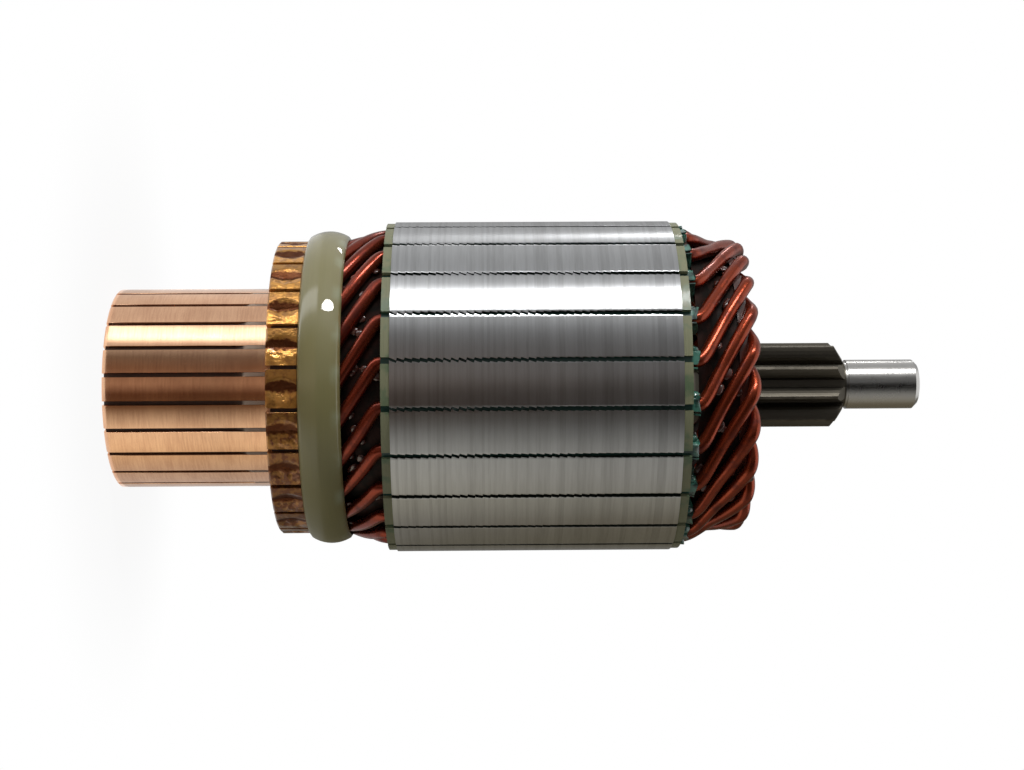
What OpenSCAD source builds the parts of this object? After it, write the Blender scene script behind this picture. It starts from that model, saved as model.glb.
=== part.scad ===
// Starter motor armature, standing on its commutator end, millimetres.
// The shaft's axis is Z and the drive end points up. The origin is the centre of the commutator's end.

/* [Core] */
// Slots in the core, and also bars and coils; an odd number, as a wave winding needs
slot_count = 23; // [19:2:25]
// Diameter over the laminations
core_d = 60; // [56:0.5:66]
// Length of the lamination stack
core_len = 49.1; // [35:0.1:70]
// Width of the slit that opens each slot to the outside
slot_slit = 1.1; // [0.6:0.1:1.8]
// Thickness of the tooth lips beside that slit
lip_t = 1; // [0.6:0.1:1.6]
// Thickness of the insulating sheet at each end of the core
sheet_t = 1.5; // [0.8:0.1:2.5]
// How far the sheets stay below the laminations
sheet_step = 0.25; // [0.1:0.05:0.6]
// Direction of the first slot about the axis, in degrees
first_slot_dir = -145; // [-180:1:180]

/* [Winding] */
// Diameter of the enamelled wire
wire_d = 2.3; // [1.8:0.1:2.5]
// Room around a wire in its slot or riser
wire_clear = 0.06; // [0.04:0.01:0.12]
// Space between the outer and the inner layer of wire
layer_gap = 0.3; // [0.26:0.02:0.5]
// Thickness of the insulation rings between the layers
layer_sheet_t = 0.12; // [0.06:0.02:0.16]
// Distance of those rings from the core's sheets, the cuffs and the noses
ring_set = 0.3; // [0.2:0.1:0.8]
// Room between the outer wire and the tooth lips
lip_room = 0.35; // [0.2:0.05:0.6]
// From the risers to the front sheet
front_overhang = 14.2; // [11:0.1:18]
// From the rear sheet to the tip of the coils' noses
drive_overhang = 12.3; // [10.5:0.1:16]
// From the risers to where the wires start to rise towards the core
rise_start = 2.4; // [1:0.1:4]
// How far the coils sink towards the shaft beyond the core's drive end
drive_drop = 2.05; // [1:0.05:3]
// From the rear sheet to where they start to sink
drop_start = 0.8; // [0.4:0.1:1.5]
// Length over which they sink
drop_len = 5.35; // [4.5:0.05:6.5]
// Half the length along which a nose bows over from the outer to the inner layer
nose_bow = 2.5; // [2.2:0.1:3.2]

/* [Slot liners] */
// Thickness of the liner
liner_t = 0.25; // [0.15:0.05:0.35]
// Room between a liner and its slot
liner_clear = 0.05; // [0.03:0.01:0.1]
// Length of the cuff that stands on the rear sheet
cuff_len = 1; // [0.6:0.1:1.1]
// Extra room around the wires in the cuff
cuff_room = 0.7; // [0.6:0.05:0.9]

/* [Commutator] */
// Diameter of the brush track
track_d = 36; // [34.5:0.5:40]
// Length of the brush track
track_len = 29.2; // [24:0.1:36]
// Diameter over the risers
riser_d = 53.2; // [51:0.2:55]
// Axial width of a riser
riser_w = 5.3; // [4:0.1:7]
// Gap between two bars
bar_gap = 0.7; // [0.5:0.05:0.9]
// Depth of a bar below the track, without its foot
bar_depth = 3; // [2:0.1:3.4]
// Depth of the dovetail foot below that
foot_depth = 2.2; // [1.5:0.1:2.5]
// Distance of the foot from each end of the bar
foot_set = 3; // [2:0.1:5]
// Axial undercut of the dovetail
dovetail = 3; // [1:0.1:5]
// Depth of the groove cut into the insulation between the bars
undercut_depth = 0.6; // [0.3:0.05:0.9]
// Distance from the riser at which that groove has run out
undercut_stop = 4.4; // [2:0.1:8]
// Length over which the groove runs out
undercut_run = 2; // [1:0.1:4]
// Copper that is staked over the outer wire in a riser
stake_cover = 0.8; // [0.6:0.05:1]
// Depth of the staking dimple
dimple_depth = 0.6; // [0.3:0.05:0.7]
// Width of the staking dimple
dimple_w = 3.6; // [2:0.1:4]
// Chamfer on the copper's outer edges
bar_edge = 0.3; // [0.1:0.05:0.5]
// How far the moulding stays behind the bars' ends
mould_set = 0.3; // [0.1:0.05:1]
// How far the insulation stays below the risers
fin_set = 0.8; // [0.3:0.05:1.2]
// Room between the moulding and the copper or the sleeve
mould_clear = 0.02; // [0.01:0.01:0.04]
// Diameter of the recess in the commutator's end
recess_d = 22; // [18:0.5:22.5]
// Depth of that recess
recess_depth = 12; // [8:0.1:16]
// Wall of the steel sleeve
sleeve_t = 1.5; // [1:0.1:2]
// How far the sleeve stands out of the moulding
sleeve_proud = 1; // [0.5:0.1:2]

/* [Banding] */
// Width of the band
band_w = 7.2; // [5:0.1:8.5]
// Thickness of the band at its edge beside the bare wires
band_edge_t = 0.4; // [0.3:0.05:0.8]
// Height of the band's crown
band_crown = 1.15; // [0.6:0.05:1.6]
// Room between the band and its neighbours
band_clear = 0.1; // [0.05:0.01:0.2]

/* [Shaft] */
// Diameter under the core
core_seat_d = 16; // [15.8:0.1:20]
// Diameter under the commutator sleeve
sleeve_seat_d = 12; // [10.5:0.1:13]
// Room between the shaft and what is pressed on it
press_clear = 0.01; // [0.005:0.005:0.02]
// Diameter of the commutator end journal
comm_journal_d = 9; // [7:0.1:10]
// How far that journal stays inside the commutator's end
comm_journal_set = 0.5; // [0.3:0.1:3]
// Diameter of the drive end journal
drive_journal_d = 9; // [7:0.1:9.4]
// Length of the drive end journal
drive_journal_len = 13; // [8:0.1:20]
// Chamfer at the journals' ends
journal_edge = 0.8; // [0.3:0.1:1.2]
// Width of the relief groove behind the drive end journal
neck_w = 0.9; // [0.5:0.1:2]
// Depth of that groove
neck_depth = 0.3; // [0.1:0.05:0.6]

/* [Sun gear] */
// Teeth
gear_teeth = 9; // [8:1:11]
// Module
gear_module = 1.35; // [1.28:0.01:1.35]
// Profile shift, as a share of the module
gear_shift = 0.28; // [0.2:0.01:0.35]
// Length of the teeth
gear_len = 24.5; // [16:0.1:30]
// How far the teeth stand out past the coils' noses
gear_stand = 18.2; // [12:0.1:24]
// Axial length of the chamfer at the teeth's ends
gear_edge_len = 1.8; // [0.5:0.1:3]
// Radial height of that chamfer
gear_edge_h = 2.8; // [0.5:0.1:2.9]
// Direction of the first tooth about the axis, in degrees
first_tooth_dir = 8; // [-20:1:20]

/* [Hidden] */
$fn = 96;
pressure_angle = 20;
dedendum = 1.25;
cut = 1;

// Angles of the winding: a coil spans nearly a quarter turn and its ends are nearly half a turn apart
pitch = 360 / slot_count;
coil_slots = floor(slot_count / 4);
span = coil_slots * pitch;
bar_lead = 1.15;
outer_pitches = 2.5;
outer_turn = outer_pitches * pitch + bar_lead;
inner_turn = (slot_count - 1) / 2 * pitch - span - outer_turn;

// Heights along the axis
z_riser0 = track_len;
z_riser1 = z_riser0 + riser_w;
z_band0 = z_riser1 + band_clear;
z_band1 = z_band0 + band_w;
z_sheet0 = z_riser1 + front_overhang;
z_core0 = z_sheet0 + sheet_t;
z_core1 = z_core0 + core_len;
z_sheet1 = z_core1 + sheet_t;
z_nose = z_sheet1 + drive_overhang;
z_gear1 = z_nose + gear_stand;
z_gear0 = z_gear1 - gear_len;
z_neck = z_gear1 + neck_w;
z_end = z_neck + drive_journal_len;

// Radii of the wires' centres, in the slots and in the risers
layer_step = wire_d + layer_gap;
slot_top_r = core_d / 2 - lip_t;
slot_outer_r = slot_top_r - lip_room - wire_d / 2;
riser_r = riser_d / 2;
riser_outer_r = riser_r - stake_cover - wire_d / 2;

// Heights where the wires start and stop to slant, and to change their radius
wire_end_set = 0.4;
straight_out = 0.4;
z_wire0 = z_riser0 + wire_end_set;
z_fan0 = z_riser1 + straight_out;
z_fan1 = z_sheet0;
z_dip0 = z_riser1 + rise_start;
z_dip1 = z_sheet0 + sheet_t / 2;
z_launch = z_sheet1 + liner_clear + liner_t + straight_out;
z_drop0 = z_sheet1 + drop_start;
z_drop1 = z_drop0 + drop_len;
z_half = (z_core0 + z_core1) / 2;

// The noses at the drive end: each is a parabola that starts with the slope of its legs
fan_ease = 0.12;
launch_ease = 0.25;
nose_r = slot_outer_r - drive_drop - layer_step / 2;
nose_turn = nose_bow / nose_r * 180 / PI;
launch_turn = span / 2 - nose_turn;
bow_share = nose_turn * (1 - launch_ease / 2) / (2 * launch_turn);
z_top = z_nose - wire_d / 2;
bow_h = (z_top - z_launch) * bow_share / (1 + bow_share);
z_bow = z_top - bow_h;

// Steps and sides of a swept wire
fan_steps = 8;
launch_steps = 8;
nose_steps = 6;
wire_sides = 8;

// Radii of the commutator
track_r = track_d / 2;
bar_in_r = track_r - bar_depth;
foot_r = bar_in_r - foot_depth;
sleeve_r = sleeve_seat_d / 2 + press_clear;
hub_r = sleeve_r + sleeve_t + mould_clear;
z_shoulder = z_riser1 + sleeve_proud + band_clear;

// Radii of the gear
gear_pitch_r = gear_module * gear_teeth / 2;
gear_base_r = gear_pitch_r * cos(pressure_angle);
gear_tip_r = gear_pitch_r + gear_module * (1 + gear_shift);
gear_root_r = gear_pitch_r - gear_module * (dedendum - gear_shift);
root_sink = 0.1;
flank_steps = 4;

function two_digits(i) = str(i < 10 ? "0" : "", i);
function coil_name(i) = str("coil_", two_digits(i));
function bar_name(i) = str("commutator_bar_", two_digits(i));

function slot_dir(i) = first_slot_dir + (i - 1) * pitch;
function bar_dir(i) = slot_dir(i) + bar_lead + pitch / 2;

// Curves of the winding

function smooth(u) = let (c = max(0, min(1, u))) c * c * (3 - 2 * c);

// From 0 to 1 with an even slope and a bend of length e at both ends
function ramp(u, e) =
    u <= 0 ? 0
    : u >= 1 ? 1
    : u < e ? u * u / (2 * e * (1 - e))
    : u > 1 - e ? 1 - (1 - u) * (1 - u) / (2 * e * (1 - e))
    : (u - e / 2) / (1 - e);

// From 0 to 1 with a bend at the start and an even slope after it
function launch(u) =
    u <= 0 ? 0
    : (u < launch_ease ? u * u / (2 * launch_ease) : u - launch_ease / 2) / (1 - launch_ease / 2);

// Radius of the outer layer's wires at a height
function outer_r(z) =
    z < z_half
    ? riser_outer_r + (slot_outer_r - riser_outer_r) * smooth((z - z_dip0) / (z_dip1 - z_dip0))
    : slot_outer_r - drive_drop * smooth((z - z_drop0) / (z_drop1 - z_drop0));

// How much a distance across the layers grows along the radius where they slope
slope_step = 0.1;
function slant(z) = norm([1, (outer_r(z + slope_step) - outer_r(z - slope_step)) / (2 * slope_step)]);

// Turn of a leg away from its slot at a height, given its turns at the riser and at the nose
function leg_turn(z, at_riser, at_nose) =
    z < z_half
    ? at_riser * (1 - ramp((z - z_fan0) / (z_fan1 - z_fan0), fan_ease))
    : at_nose * launch((z - z_launch) / (z_bow - z_launch));

leg_heights = concat(
    [z_wire0],
    [for (k = [0:fan_steps]) z_fan0 + (z_fan1 - z_fan0) * k / fan_steps],
    [z_core1],
    [for (k = [0:launch_steps]) z_launch + (z_bow - z_launch) * k / launch_steps]
);

// A leg as points of radius, turn and height, from the riser up to the nose
function leg(depth, slot_turn, at_riser, at_nose) = [
    for (z = leg_heights)
        [outer_r(z) - depth * slant(z), slot_turn + leg_turn(z, at_riser, at_nose), z]
];

// The nose, over the top from the outer layer to the inner one
function nose() = [
    for (k = [1:nose_steps - 1])
        let (along = 2 * k / nose_steps - 1)
        [
            nose_r + layer_step / 2 - layer_step * smooth(k / nose_steps),
            -span / 2 - nose_turn * along,
            z_top - bow_h * along * along
        ]
];

function backwards(list) = [for (k = [len(list) - 1:-1:0]) list[k]];

function coil_route() = concat(
    leg(0, 0, outer_turn, -launch_turn),
    nose(),
    backwards(leg(layer_step, -span, -inner_turn, launch_turn))
);

function in_space(p) = [p[0] * cos(p[1]), p[0] * sin(p[1]), p[2]];
function unit(v) = v / norm(v);

// Corners of the wire's section at point k of a route
function section_at(route, k, r) =
    let (
        last = len(route) - 1,
        along = unit(in_space(route[min(k + 1, last)]) - in_space(route[max(k - 1, 0)])),
        out = [cos(route[k][1]), sin(route[k][1]), 0],
        up = unit(out - (out * along) * along),
        side = cross(along, up)
    )
    [
        for (j = [0:wire_sides - 1])
            let (a = 360 * (j + 0.5) / wire_sides)
            in_space(route[k]) + r * (cos(a) * up + sin(a) * side)
    ];

module swept_wire(route, r) {
    n = wire_sides;
    rings = len(route);
    corners = [for (k = [0:rings - 1]) each section_at(route, k, r)];
    walls = [
        for (k = [0:rings - 2], j = [0:n - 1])
            let (a = k * n + j, b = k * n + (j + 1) % n)
            each [[a, a + n, b], [b, a + n, b + n]]
    ];
    first_cap = [for (j = [0:n - 1]) j];
    last_cap = [for (j = [n - 1:-1:0]) (rings - 1) * n + j];
    polyhedron(corners, concat(walls, [first_cap, last_cap]));
}

// Outlines across the axis, drawn towards +X

// The round-bottomed space of two stacked wires, grown on all sides and open up to a radius
module wire_space(inner_r, top_r, grow) {
    half = wire_d / 2 + grow;
    translate([inner_r, -half])
        square([top_r - inner_r, 2 * half]);
    translate([inner_r, 0])
        circle(half);
}

slot_inner_r = slot_outer_r - layer_step;

module slot_space(grow, top_r) wire_space(slot_inner_r, top_r, grow);

module slot_outline() {
    slot_space(wire_clear + liner_t + liner_clear, slot_top_r);
    translate([slot_inner_r, -slot_slit / 2])
        square([core_d / 2 - slot_inner_r + cut, slot_slit]);
}

module lamination_outline(r, bore_r) {
    difference() {
        circle(r);
        circle(bore_r);
        for (i = [1:slot_count])
            rotate(slot_dir(i))
                slot_outline();
    }
}

// Core and its insulation

module laminations(z0, z1, r) {
    translate([0, 0, z0])
        linear_extrude(z1 - z0)
            lamination_outline(r, core_seat_d / 2 + press_clear);
}

module core_stack() {
    color("silver")
        laminations(z_core0, z_core1, core_d / 2);
}

module front_end_sheet() {
    color("darkkhaki")
        laminations(z_sheet0, z_core0, core_d / 2 - sheet_step);
}

module rear_end_sheet() {
    color("darkkhaki")
        laminations(z_core1, z_sheet1, core_d / 2 - sheet_step);
}

// A channel around two wires, open to the outside
module channel_outline(grow, wall, top_r) {
    difference() {
        slot_space(grow + wall, top_r);
        slot_space(grow, top_r + cut);
    }
}

module slot_liner() {
    top_r = slot_top_r - liner_clear;
    z_start = (z_sheet0 + z_core0) / 2;
    z_foot = z_sheet1 + liner_clear;
    translate([0, 0, z_start])
        linear_extrude(z_foot + liner_t - z_start)
            channel_outline(wire_clear, liner_t, top_r);
    translate([0, 0, z_foot])
        linear_extrude(liner_t)
            channel_outline(wire_clear, cuff_room - wire_clear + liner_t, top_r);
    translate([0, 0, z_foot])
        linear_extrude(cuff_len - liner_clear)
            channel_outline(cuff_room, liner_t, top_r);
}

module slot_liners() {
    color("teal")
        for (i = [1:slot_count])
            rotate(slot_dir(i))
                slot_liner();
}

// Winding

module coil(i) {
    color("firebrick")
        rotate(slot_dir(i))
            swept_wire(coil_route(), wire_d / 2);
}

// The ring in the middle of the space between the layers
module layer_ring(z0, z1, steps) {
    heights = [for (k = [0:steps]) z0 + (z1 - z0) * k / steps];
    inner_depth = (layer_step + layer_sheet_t) / 2;
    outer_depth = (layer_step - layer_sheet_t) / 2;
    inside = [for (z = heights) [outer_r(z) - inner_depth * slant(z), z]];
    outside = [for (z = heights) [outer_r(z) - outer_depth * slant(z), z]];
    rotate_extrude()
        polygon(concat(inside, backwards(outside)));
}

module front_layer_insulation() {
    color("olive")
        layer_ring(z_fan0, z_sheet0 - ring_set, fan_steps);
}

module rear_layer_insulation() {
    color("olive")
        layer_ring(z_sheet1 + cuff_len + ring_set, z_bow - wire_d / 2 - ring_set, launch_steps);
}

// Commutator

// A bar's section along the axis, grown by c where the moulding is cut for it
module bar_section(c) {
    flank = norm([dovetail, foot_depth]);
    shift = c * (flank + dovetail) / foot_depth;
    foot_lo = foot_set - shift;
    foot_hi = z_riser1 - foot_set + shift;
    polygon([
        [bar_in_r - c, -c],
        [track_r - bar_edge, -c],
        [track_r + c, bar_edge],
        [track_r + c, z_riser0 - c],
        [riser_r - bar_edge, z_riser0 - c],
        [riser_r + c, z_riser0 + bar_edge],
        [riser_r + c, z_riser1 + c],
        [bar_in_r - c, z_riser1 + c],
        [bar_in_r - c, foot_hi - dovetail],
        [foot_r - c, foot_hi],
        [foot_r - c, foot_lo],
        [bar_in_r - c, foot_lo + dovetail]
    ]);
}

// The wedge between two gaps of even width
module bar_wedge(c) {
    apex = (bar_gap / 2 - c) / sin(pitch / 2);
    reach = riser_d;
    polygon([
        [apex, 0],
        [apex + reach * cos(pitch / 2), -reach * sin(pitch / 2)],
        [apex + reach * cos(pitch / 2), reach * sin(pitch / 2)]
    ]);
}

module bar_blank(c) {
    intersection() {
        rotate_extrude()
            bar_section(c);
        translate([0, 0, -cut])
            linear_extrude(z_riser1 + 2 * cut)
                bar_wedge(c);
    }
}

// The hole through a riser for an outer and an inner wire
module riser_hole() {
    half = wire_d / 2 + wire_clear;
    translate([0, 0, z_riser0 - cut])
        linear_extrude(riser_w + 2 * cut) {
            wire_space(riser_outer_r - layer_step, riser_outer_r, wire_clear);
            translate([riser_outer_r, 0])
                circle(half);
        }
}

// The punch mark over the wires, deepest in the middle of the riser
module staking_dimple() {
    half = riser_w / 2;
    reach = (pow(dimple_w / 2, 2) + pow(dimple_depth, 2)) / (2 * dimple_depth);
    translate([riser_r - dimple_depth + reach, 0, z_riser0 + half]) {
        cylinder(h = half, r1 = reach, r2 = reach - dimple_depth);
        translate([0, 0, -half])
            cylinder(h = half, r1 = reach - dimple_depth, r2 = reach);
    }
}

module commutator_bar(i) {
    color("sandybrown")
        rotate(bar_dir(i))
            difference() {
                bar_blank(0);
                riser_hole();
                staking_dimple();
            }
}

module commutator_sleeve() {
    color("gray")
        translate([0, 0, recess_depth])
            difference() {
                cylinder(h = z_riser1 + sleeve_proud - recess_depth, r = sleeve_r + sleeve_t);
                translate([0, 0, -cut])
                    cylinder(h = z_shoulder + cut, r = sleeve_r);
            }
}

module moulding_section() {
    groove_r = track_r - undercut_depth;
    z_flush = z_riser0 - undercut_stop;
    polygon([
        [recess_d / 2, mould_set],
        [groove_r, mould_set],
        [groove_r, z_flush - undercut_run],
        [track_r, z_flush],
        [track_r, z_riser0 + fin_set],
        [riser_r - fin_set, z_riser0 + fin_set],
        [riser_r - fin_set, z_riser1],
        [hub_r, z_riser1],
        [hub_r, recess_depth],
        [recess_d / 2, recess_depth]
    ]);
}

module commutator_moulding() {
    color("saddlebrown")
        difference() {
            rotate_extrude()
                moulding_section();
            for (i = [1:slot_count])
                rotate(bar_dir(i))
                    bar_blank(mould_clear);
        }
}

// Banding

module banding() {
    edge_r = outer_r(z_band1) + wire_d / 2 + band_clear;
    start_r = outer_r(z_band0) + wire_d / 2 + band_clear;
    crown_r = (pow(band_w / 2, 2) + pow(band_crown, 2)) / (2 * band_crown);
    top_r = edge_r + band_edge_t + band_crown;
    color("darkseagreen")
        rotate_extrude()
            intersection() {
                polygon([
                    [start_r, z_band0],
                    [top_r + cut, z_band0],
                    [top_r + cut, z_band1],
                    [edge_r, z_band1]
                ]);
                translate([top_r - crown_r, (z_band0 + z_band1) / 2])
                    circle(crown_r);
            }
}

// Shaft

// The involute's angle at a radius, in degrees
function involute(r) = let (a = acos(min(1, gear_base_r / r))) tan(a) * 180 / PI - a;

// Half the angle that a tooth takes up at a radius
function half_tooth(r) =
    (90 + 2 * gear_shift * tan(pressure_angle) * 180 / PI) / gear_teeth
    + involute(gear_pitch_r) - involute(max(r, gear_base_r));

flank_radii = concat(
    [gear_root_r],
    [for (k = [0:flank_steps]) gear_base_r + (gear_tip_r - gear_base_r) * k / flank_steps]
);

function tooth_point(r, dir) = [r * cos(dir), r * sin(dir)];

module gear_outline() {
    polygon([
        for (t = [0:gear_teeth - 1])
            let (dir = first_tooth_dir + t * 360 / gear_teeth)
            each concat(
                [for (r = flank_radii) tooth_point(r, dir - half_tooth(r))],
                [for (r = backwards(flank_radii)) tooth_point(r, dir + half_tooth(r))]
            )
    ]);
}

module sun_gear() {
    intersection() {
        translate([0, 0, z_gear0 - cut])
            linear_extrude(gear_len + cut)
                gear_outline();
        rotate_extrude()
            polygon([
                [0, z_gear0 - 2 * cut],
                [gear_tip_r + cut, z_gear0 - 2 * cut],
                [gear_tip_r + cut, z_gear1 - gear_edge_len * (1 + cut / gear_edge_h)],
                [gear_tip_r - gear_edge_h, z_gear1],
                [0, z_gear1]
            ]);
    }
}

module shaft_section() {
    comm_r = comm_journal_d / 2;
    drive_r = drive_journal_d / 2;
    seat_r = core_seat_d / 2;
    core_r = gear_root_r - root_sink;
    seat_edge = seat_r - core_r;
    polygon([
        [0, comm_journal_set],
        [comm_r - journal_edge, comm_journal_set],
        [comm_r, comm_journal_set + journal_edge],
        [comm_r, recess_depth],
        [sleeve_seat_d / 2, recess_depth],
        [sleeve_seat_d / 2, z_shoulder],
        [seat_r, z_shoulder],
        [seat_r, z_gear0 - seat_edge],
        [core_r, z_gear0],
        [core_r, z_gear1 - neck_w],
        [drive_r - neck_depth, z_gear1 - neck_w],
        [drive_r - neck_depth, z_neck],
        [drive_r, z_neck],
        [drive_r, z_end - journal_edge],
        [drive_r - journal_edge, z_end],
        [0, z_end]
    ]);
}

module shaft() {
    color("dimgray") {
        rotate_extrude()
            shaft_section();
        sun_gear();
    }
}

shaft();
core_stack();
front_end_sheet();
rear_end_sheet();
slot_liners();
commutator_sleeve();
commutator_moulding();
banding();
front_layer_insulation();
rear_layer_insulation();
for (i = [1:slot_count]) {
    commutator_bar(i);
    coil(i);
}
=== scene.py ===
"""Starter motor armature: finishes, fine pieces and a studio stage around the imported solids.

Lengths are metres, in the frame of the solids: the shaft's axis is Z, the drive end points up, and the
commutator's end stands on the floor.
"""

import math

import bmesh
import bpy
import numpy as np
from bpy.props import FloatProperty, FloatVectorProperty, IntProperty, PointerProperty
from mathutils import Matrix, Vector, noise


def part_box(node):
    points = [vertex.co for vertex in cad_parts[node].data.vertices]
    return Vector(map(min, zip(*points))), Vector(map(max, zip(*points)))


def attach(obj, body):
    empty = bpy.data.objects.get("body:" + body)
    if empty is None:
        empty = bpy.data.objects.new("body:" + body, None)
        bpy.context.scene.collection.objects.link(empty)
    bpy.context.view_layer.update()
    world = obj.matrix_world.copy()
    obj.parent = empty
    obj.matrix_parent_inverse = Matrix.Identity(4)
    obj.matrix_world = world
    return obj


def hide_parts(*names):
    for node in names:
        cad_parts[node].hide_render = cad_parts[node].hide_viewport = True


bl_info = {
    "name": "Starter motor armature",
    "version": (1, 0, 0),
    "blender": (4, 5, 0),
    "location": "View3D > Sidebar > Armature",
    "description": "Finishes and fine pieces of a starter motor's armature, on a studio stage",
    "category": "Object",
}

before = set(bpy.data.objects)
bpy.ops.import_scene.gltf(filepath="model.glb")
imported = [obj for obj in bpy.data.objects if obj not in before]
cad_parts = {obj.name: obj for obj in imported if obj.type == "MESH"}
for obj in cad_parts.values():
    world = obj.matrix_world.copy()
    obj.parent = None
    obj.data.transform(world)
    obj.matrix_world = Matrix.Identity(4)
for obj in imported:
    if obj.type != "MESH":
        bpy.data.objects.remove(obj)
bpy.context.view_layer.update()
BODY = "root"
MM = 0.001
# Quarter turn of the anisotropy, which draws a turned surface's sheen along the shaft
ALONG_SHAFT = 0.25


# Sizes read from the solids

def reach(node):
    """Lowest height, highest height and largest radius of a solid."""
    low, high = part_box(node)
    return low.z, high.z, max(high.x, high.y, -low.x, -low.y)


COILS = sorted(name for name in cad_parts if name.startswith("coil_"))
BARS = sorted(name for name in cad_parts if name.startswith("commutator_bar_"))
SLOTS = len(COILS)
PITCH = 2 * math.pi / SLOTS
CORE_Z0, CORE_Z1, CORE_R = reach("core_stack")
SHEET_Z0 = reach("front_end_sheet")[0]
SHEET_Z1 = reach("rear_end_sheet")[1]
BAND_Z0, BAND_Z1, BAND_R = reach("banding")
WIRE_Z0, NOSE_Z, _ = reach("coil_01")
RISER_Z1 = reach("commutator_bar_01")[1]
HALF_Z = (CORE_Z0 + CORE_Z1) / 2


# Settings

def length(name, description, millimetres):
    """A length that is shown in Blender's own unit."""
    return FloatProperty(
        name=name, description=description, default=millimetres * MM, unit="LENGTH", precision=5
    )


def angle(name, description, degrees):
    """An angle, shown in degrees."""
    return FloatProperty(name=name, description=description, default=math.radians(degrees), unit="ROTATION")


def share(name, description, default):
    """A number from 0 to 1."""
    return FloatProperty(name=name, description=description, default=default, min=0, max=1, subtype="FACTOR")


def tint(name, description, red, green, blue):
    """A colour in scene linear values."""
    colour = (red, green, blue)
    return FloatVectorProperty(
        name=name, description=description, default=colour, min=0, max=1, size=3, subtype="COLOR"
    )


class WindingSettings(bpy.types.PropertyGroup):
    """Sizes and colours of the hairpin coils."""

    wire_d: length("Wire", "Diameter of the enamelled wire", 2.3)
    layer_gap: length("Layer gap", "Space between the two layers of wire", 0.3)
    slot_depth: length("Slot depth", "From the core's surface to the middle of the outer wire", 2.5)
    riser_depth: length("Riser depth", "From a riser's top to the middle of the outer wire", 1.95)
    straight: length("Straight run", "Straight wire between a riser or a cuff and its slant", 0.4)
    rise_start: length("Rise start", "From the risers to where the wires start to rise", 2.4)
    drop: length("Drop", "How far the coils sink beyond the core's drive end", 2.05)
    drop_start: length("Drop start", "From the rear sheet to where they start to sink", 0.8)
    drop_len: length("Drop length", "Length over which they sink", 5.35)
    launch_start: length("Launch start", "From the rear sheet to where they start to slant", 0.7)
    nose_bow: length("Nose bow", "Half the length along which a nose bows over to the inner layer", 2.5)
    first_slot: angle("First slot", "Direction of the first slot about the axis", -145)
    bar_lead: angle("Bar lead", "Turn from the middle of two slots to a commutator bar", 1.15)
    coil_slots: IntProperty(name="Coil span", description="Slots that a coil spans", default=5, min=1)
    riser_pitches: FloatProperty(name="Riser pitches", description="Pitches from slot to riser", default=2.5)
    sway: length("Sway", "How far a hand-laid wire strays from its ideal line", 0.16)
    bead: length("Bead", "Size of the varnish beads beside the wires", 0.62)
    bead_set: length("Bead place", "From a wire's middle to a bead's", 1.38)
    web_t: length("Web", "Thickness of the varnish between the noses", 0.4)
    web_dip: length("Web dip", "How far that varnish sinks between two noses", 1.2)
    web_lean: length("Web lean", "How far that varnish leans in at its top", 0.7)
    web_wave: length("Web waves", "How uneven that varnish is", 0.12)
    front_tint: tint("Front enamel", "Enamel beside the banding", 0.23, 0.034, 0.014)
    drive_tint: tint("Drive end enamel", "Enamel at the coils' noses", 0.28, 0.042, 0.013)
    dull_tint: tint("Dull enamel", "Enamel under thick varnish", 0.085, 0.014, 0.010)
    varnish_tint: tint("Varnish", "Beads of varnish beside the wires", 0.06, 0.03, 0.022)


class CoreSettings(bpy.types.PropertyGroup):
    """Sizes and colours of the lamination stack and its insulation."""

    slit: length("Slit", "Width of the slit that opens a slot", 1.1)
    lip: length("Lip", "Thickness of the tooth lips beside the slit", 1.0)
    slot_w: length("Slot width", "Width of a slot below its lips", 3.02)
    bore_d: length("Bore", "Diameter of the core's bore", 16.02)
    burr: length("Burr", "How far the burrs reach over a slit", 0.65)
    burr_least: length("Least burr", "How far a slit's edges are smeared everywhere", 0.1)
    burr_pitch: length("Burr pitch", "Length of one burr along a slit", 1.3)
    burr_side: angle("Burr side", "Side of the core with the heaviest burrs", -128)
    edge_dip: length("Edge dip", "How far the slits' edges are worn down", 0.04)
    sheet_pitch: length("Sheet pitch", "Thickness of one lamination", 0.5)
    steel_tint: tint("Steel", "Turned steel", 0.60, 0.61, 0.62)
    streak_tint: tint("Streaks", "Darker laminations", 0.40, 0.405, 0.41)
    # Painted shade: the slits' walls below the core's surface are painted in this dark colour.
    painted_slot_shade_tint: tint("Slot walls", "Varnished walls of the slots", 0.016, 0.024, 0.017)
    sheet_tint: tint("End sheet", "Edge of the end sheets", 0.27, 0.275, 0.155)
    sheet_stain: tint("End sheet stain", "Varnish on the end sheets", 0.13, 0.185, 0.10)
    liner_t: length("Liner", "Thickness of the liner film", 0.25)
    liner_room: length("Liner room", "Room between a wire and its liner", 0.06)
    cuff_len: length("Cuff", "Length of the liners beyond the rear sheet", 1.1)
    cuff_flare: length("Cuff flare", "How far the cuffs spread at their ends", 0.2)
    bead: length("Bead", "Size of the varnish beads at the slots' mouths", 0.85)
    liner_tint: tint("Liner", "Green liner film", 0.07, 0.23, 0.17)
    # Serves both the real varnish stains and the painted shade of the film inside the slots.
    liner_stain_and_shade_tint: tint("Liner in shade", "Liner film under brown varnish", 0.012, 0.045, 0.036)
    layer_tint: tint("Layer paper", "Layer insulation soaked in brown varnish", 0.030, 0.011, 0.008)
    layer_dark: tint("Layer paper in folds", "Layer insulation under thick varnish", 0.010, 0.008, 0.006)


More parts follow.
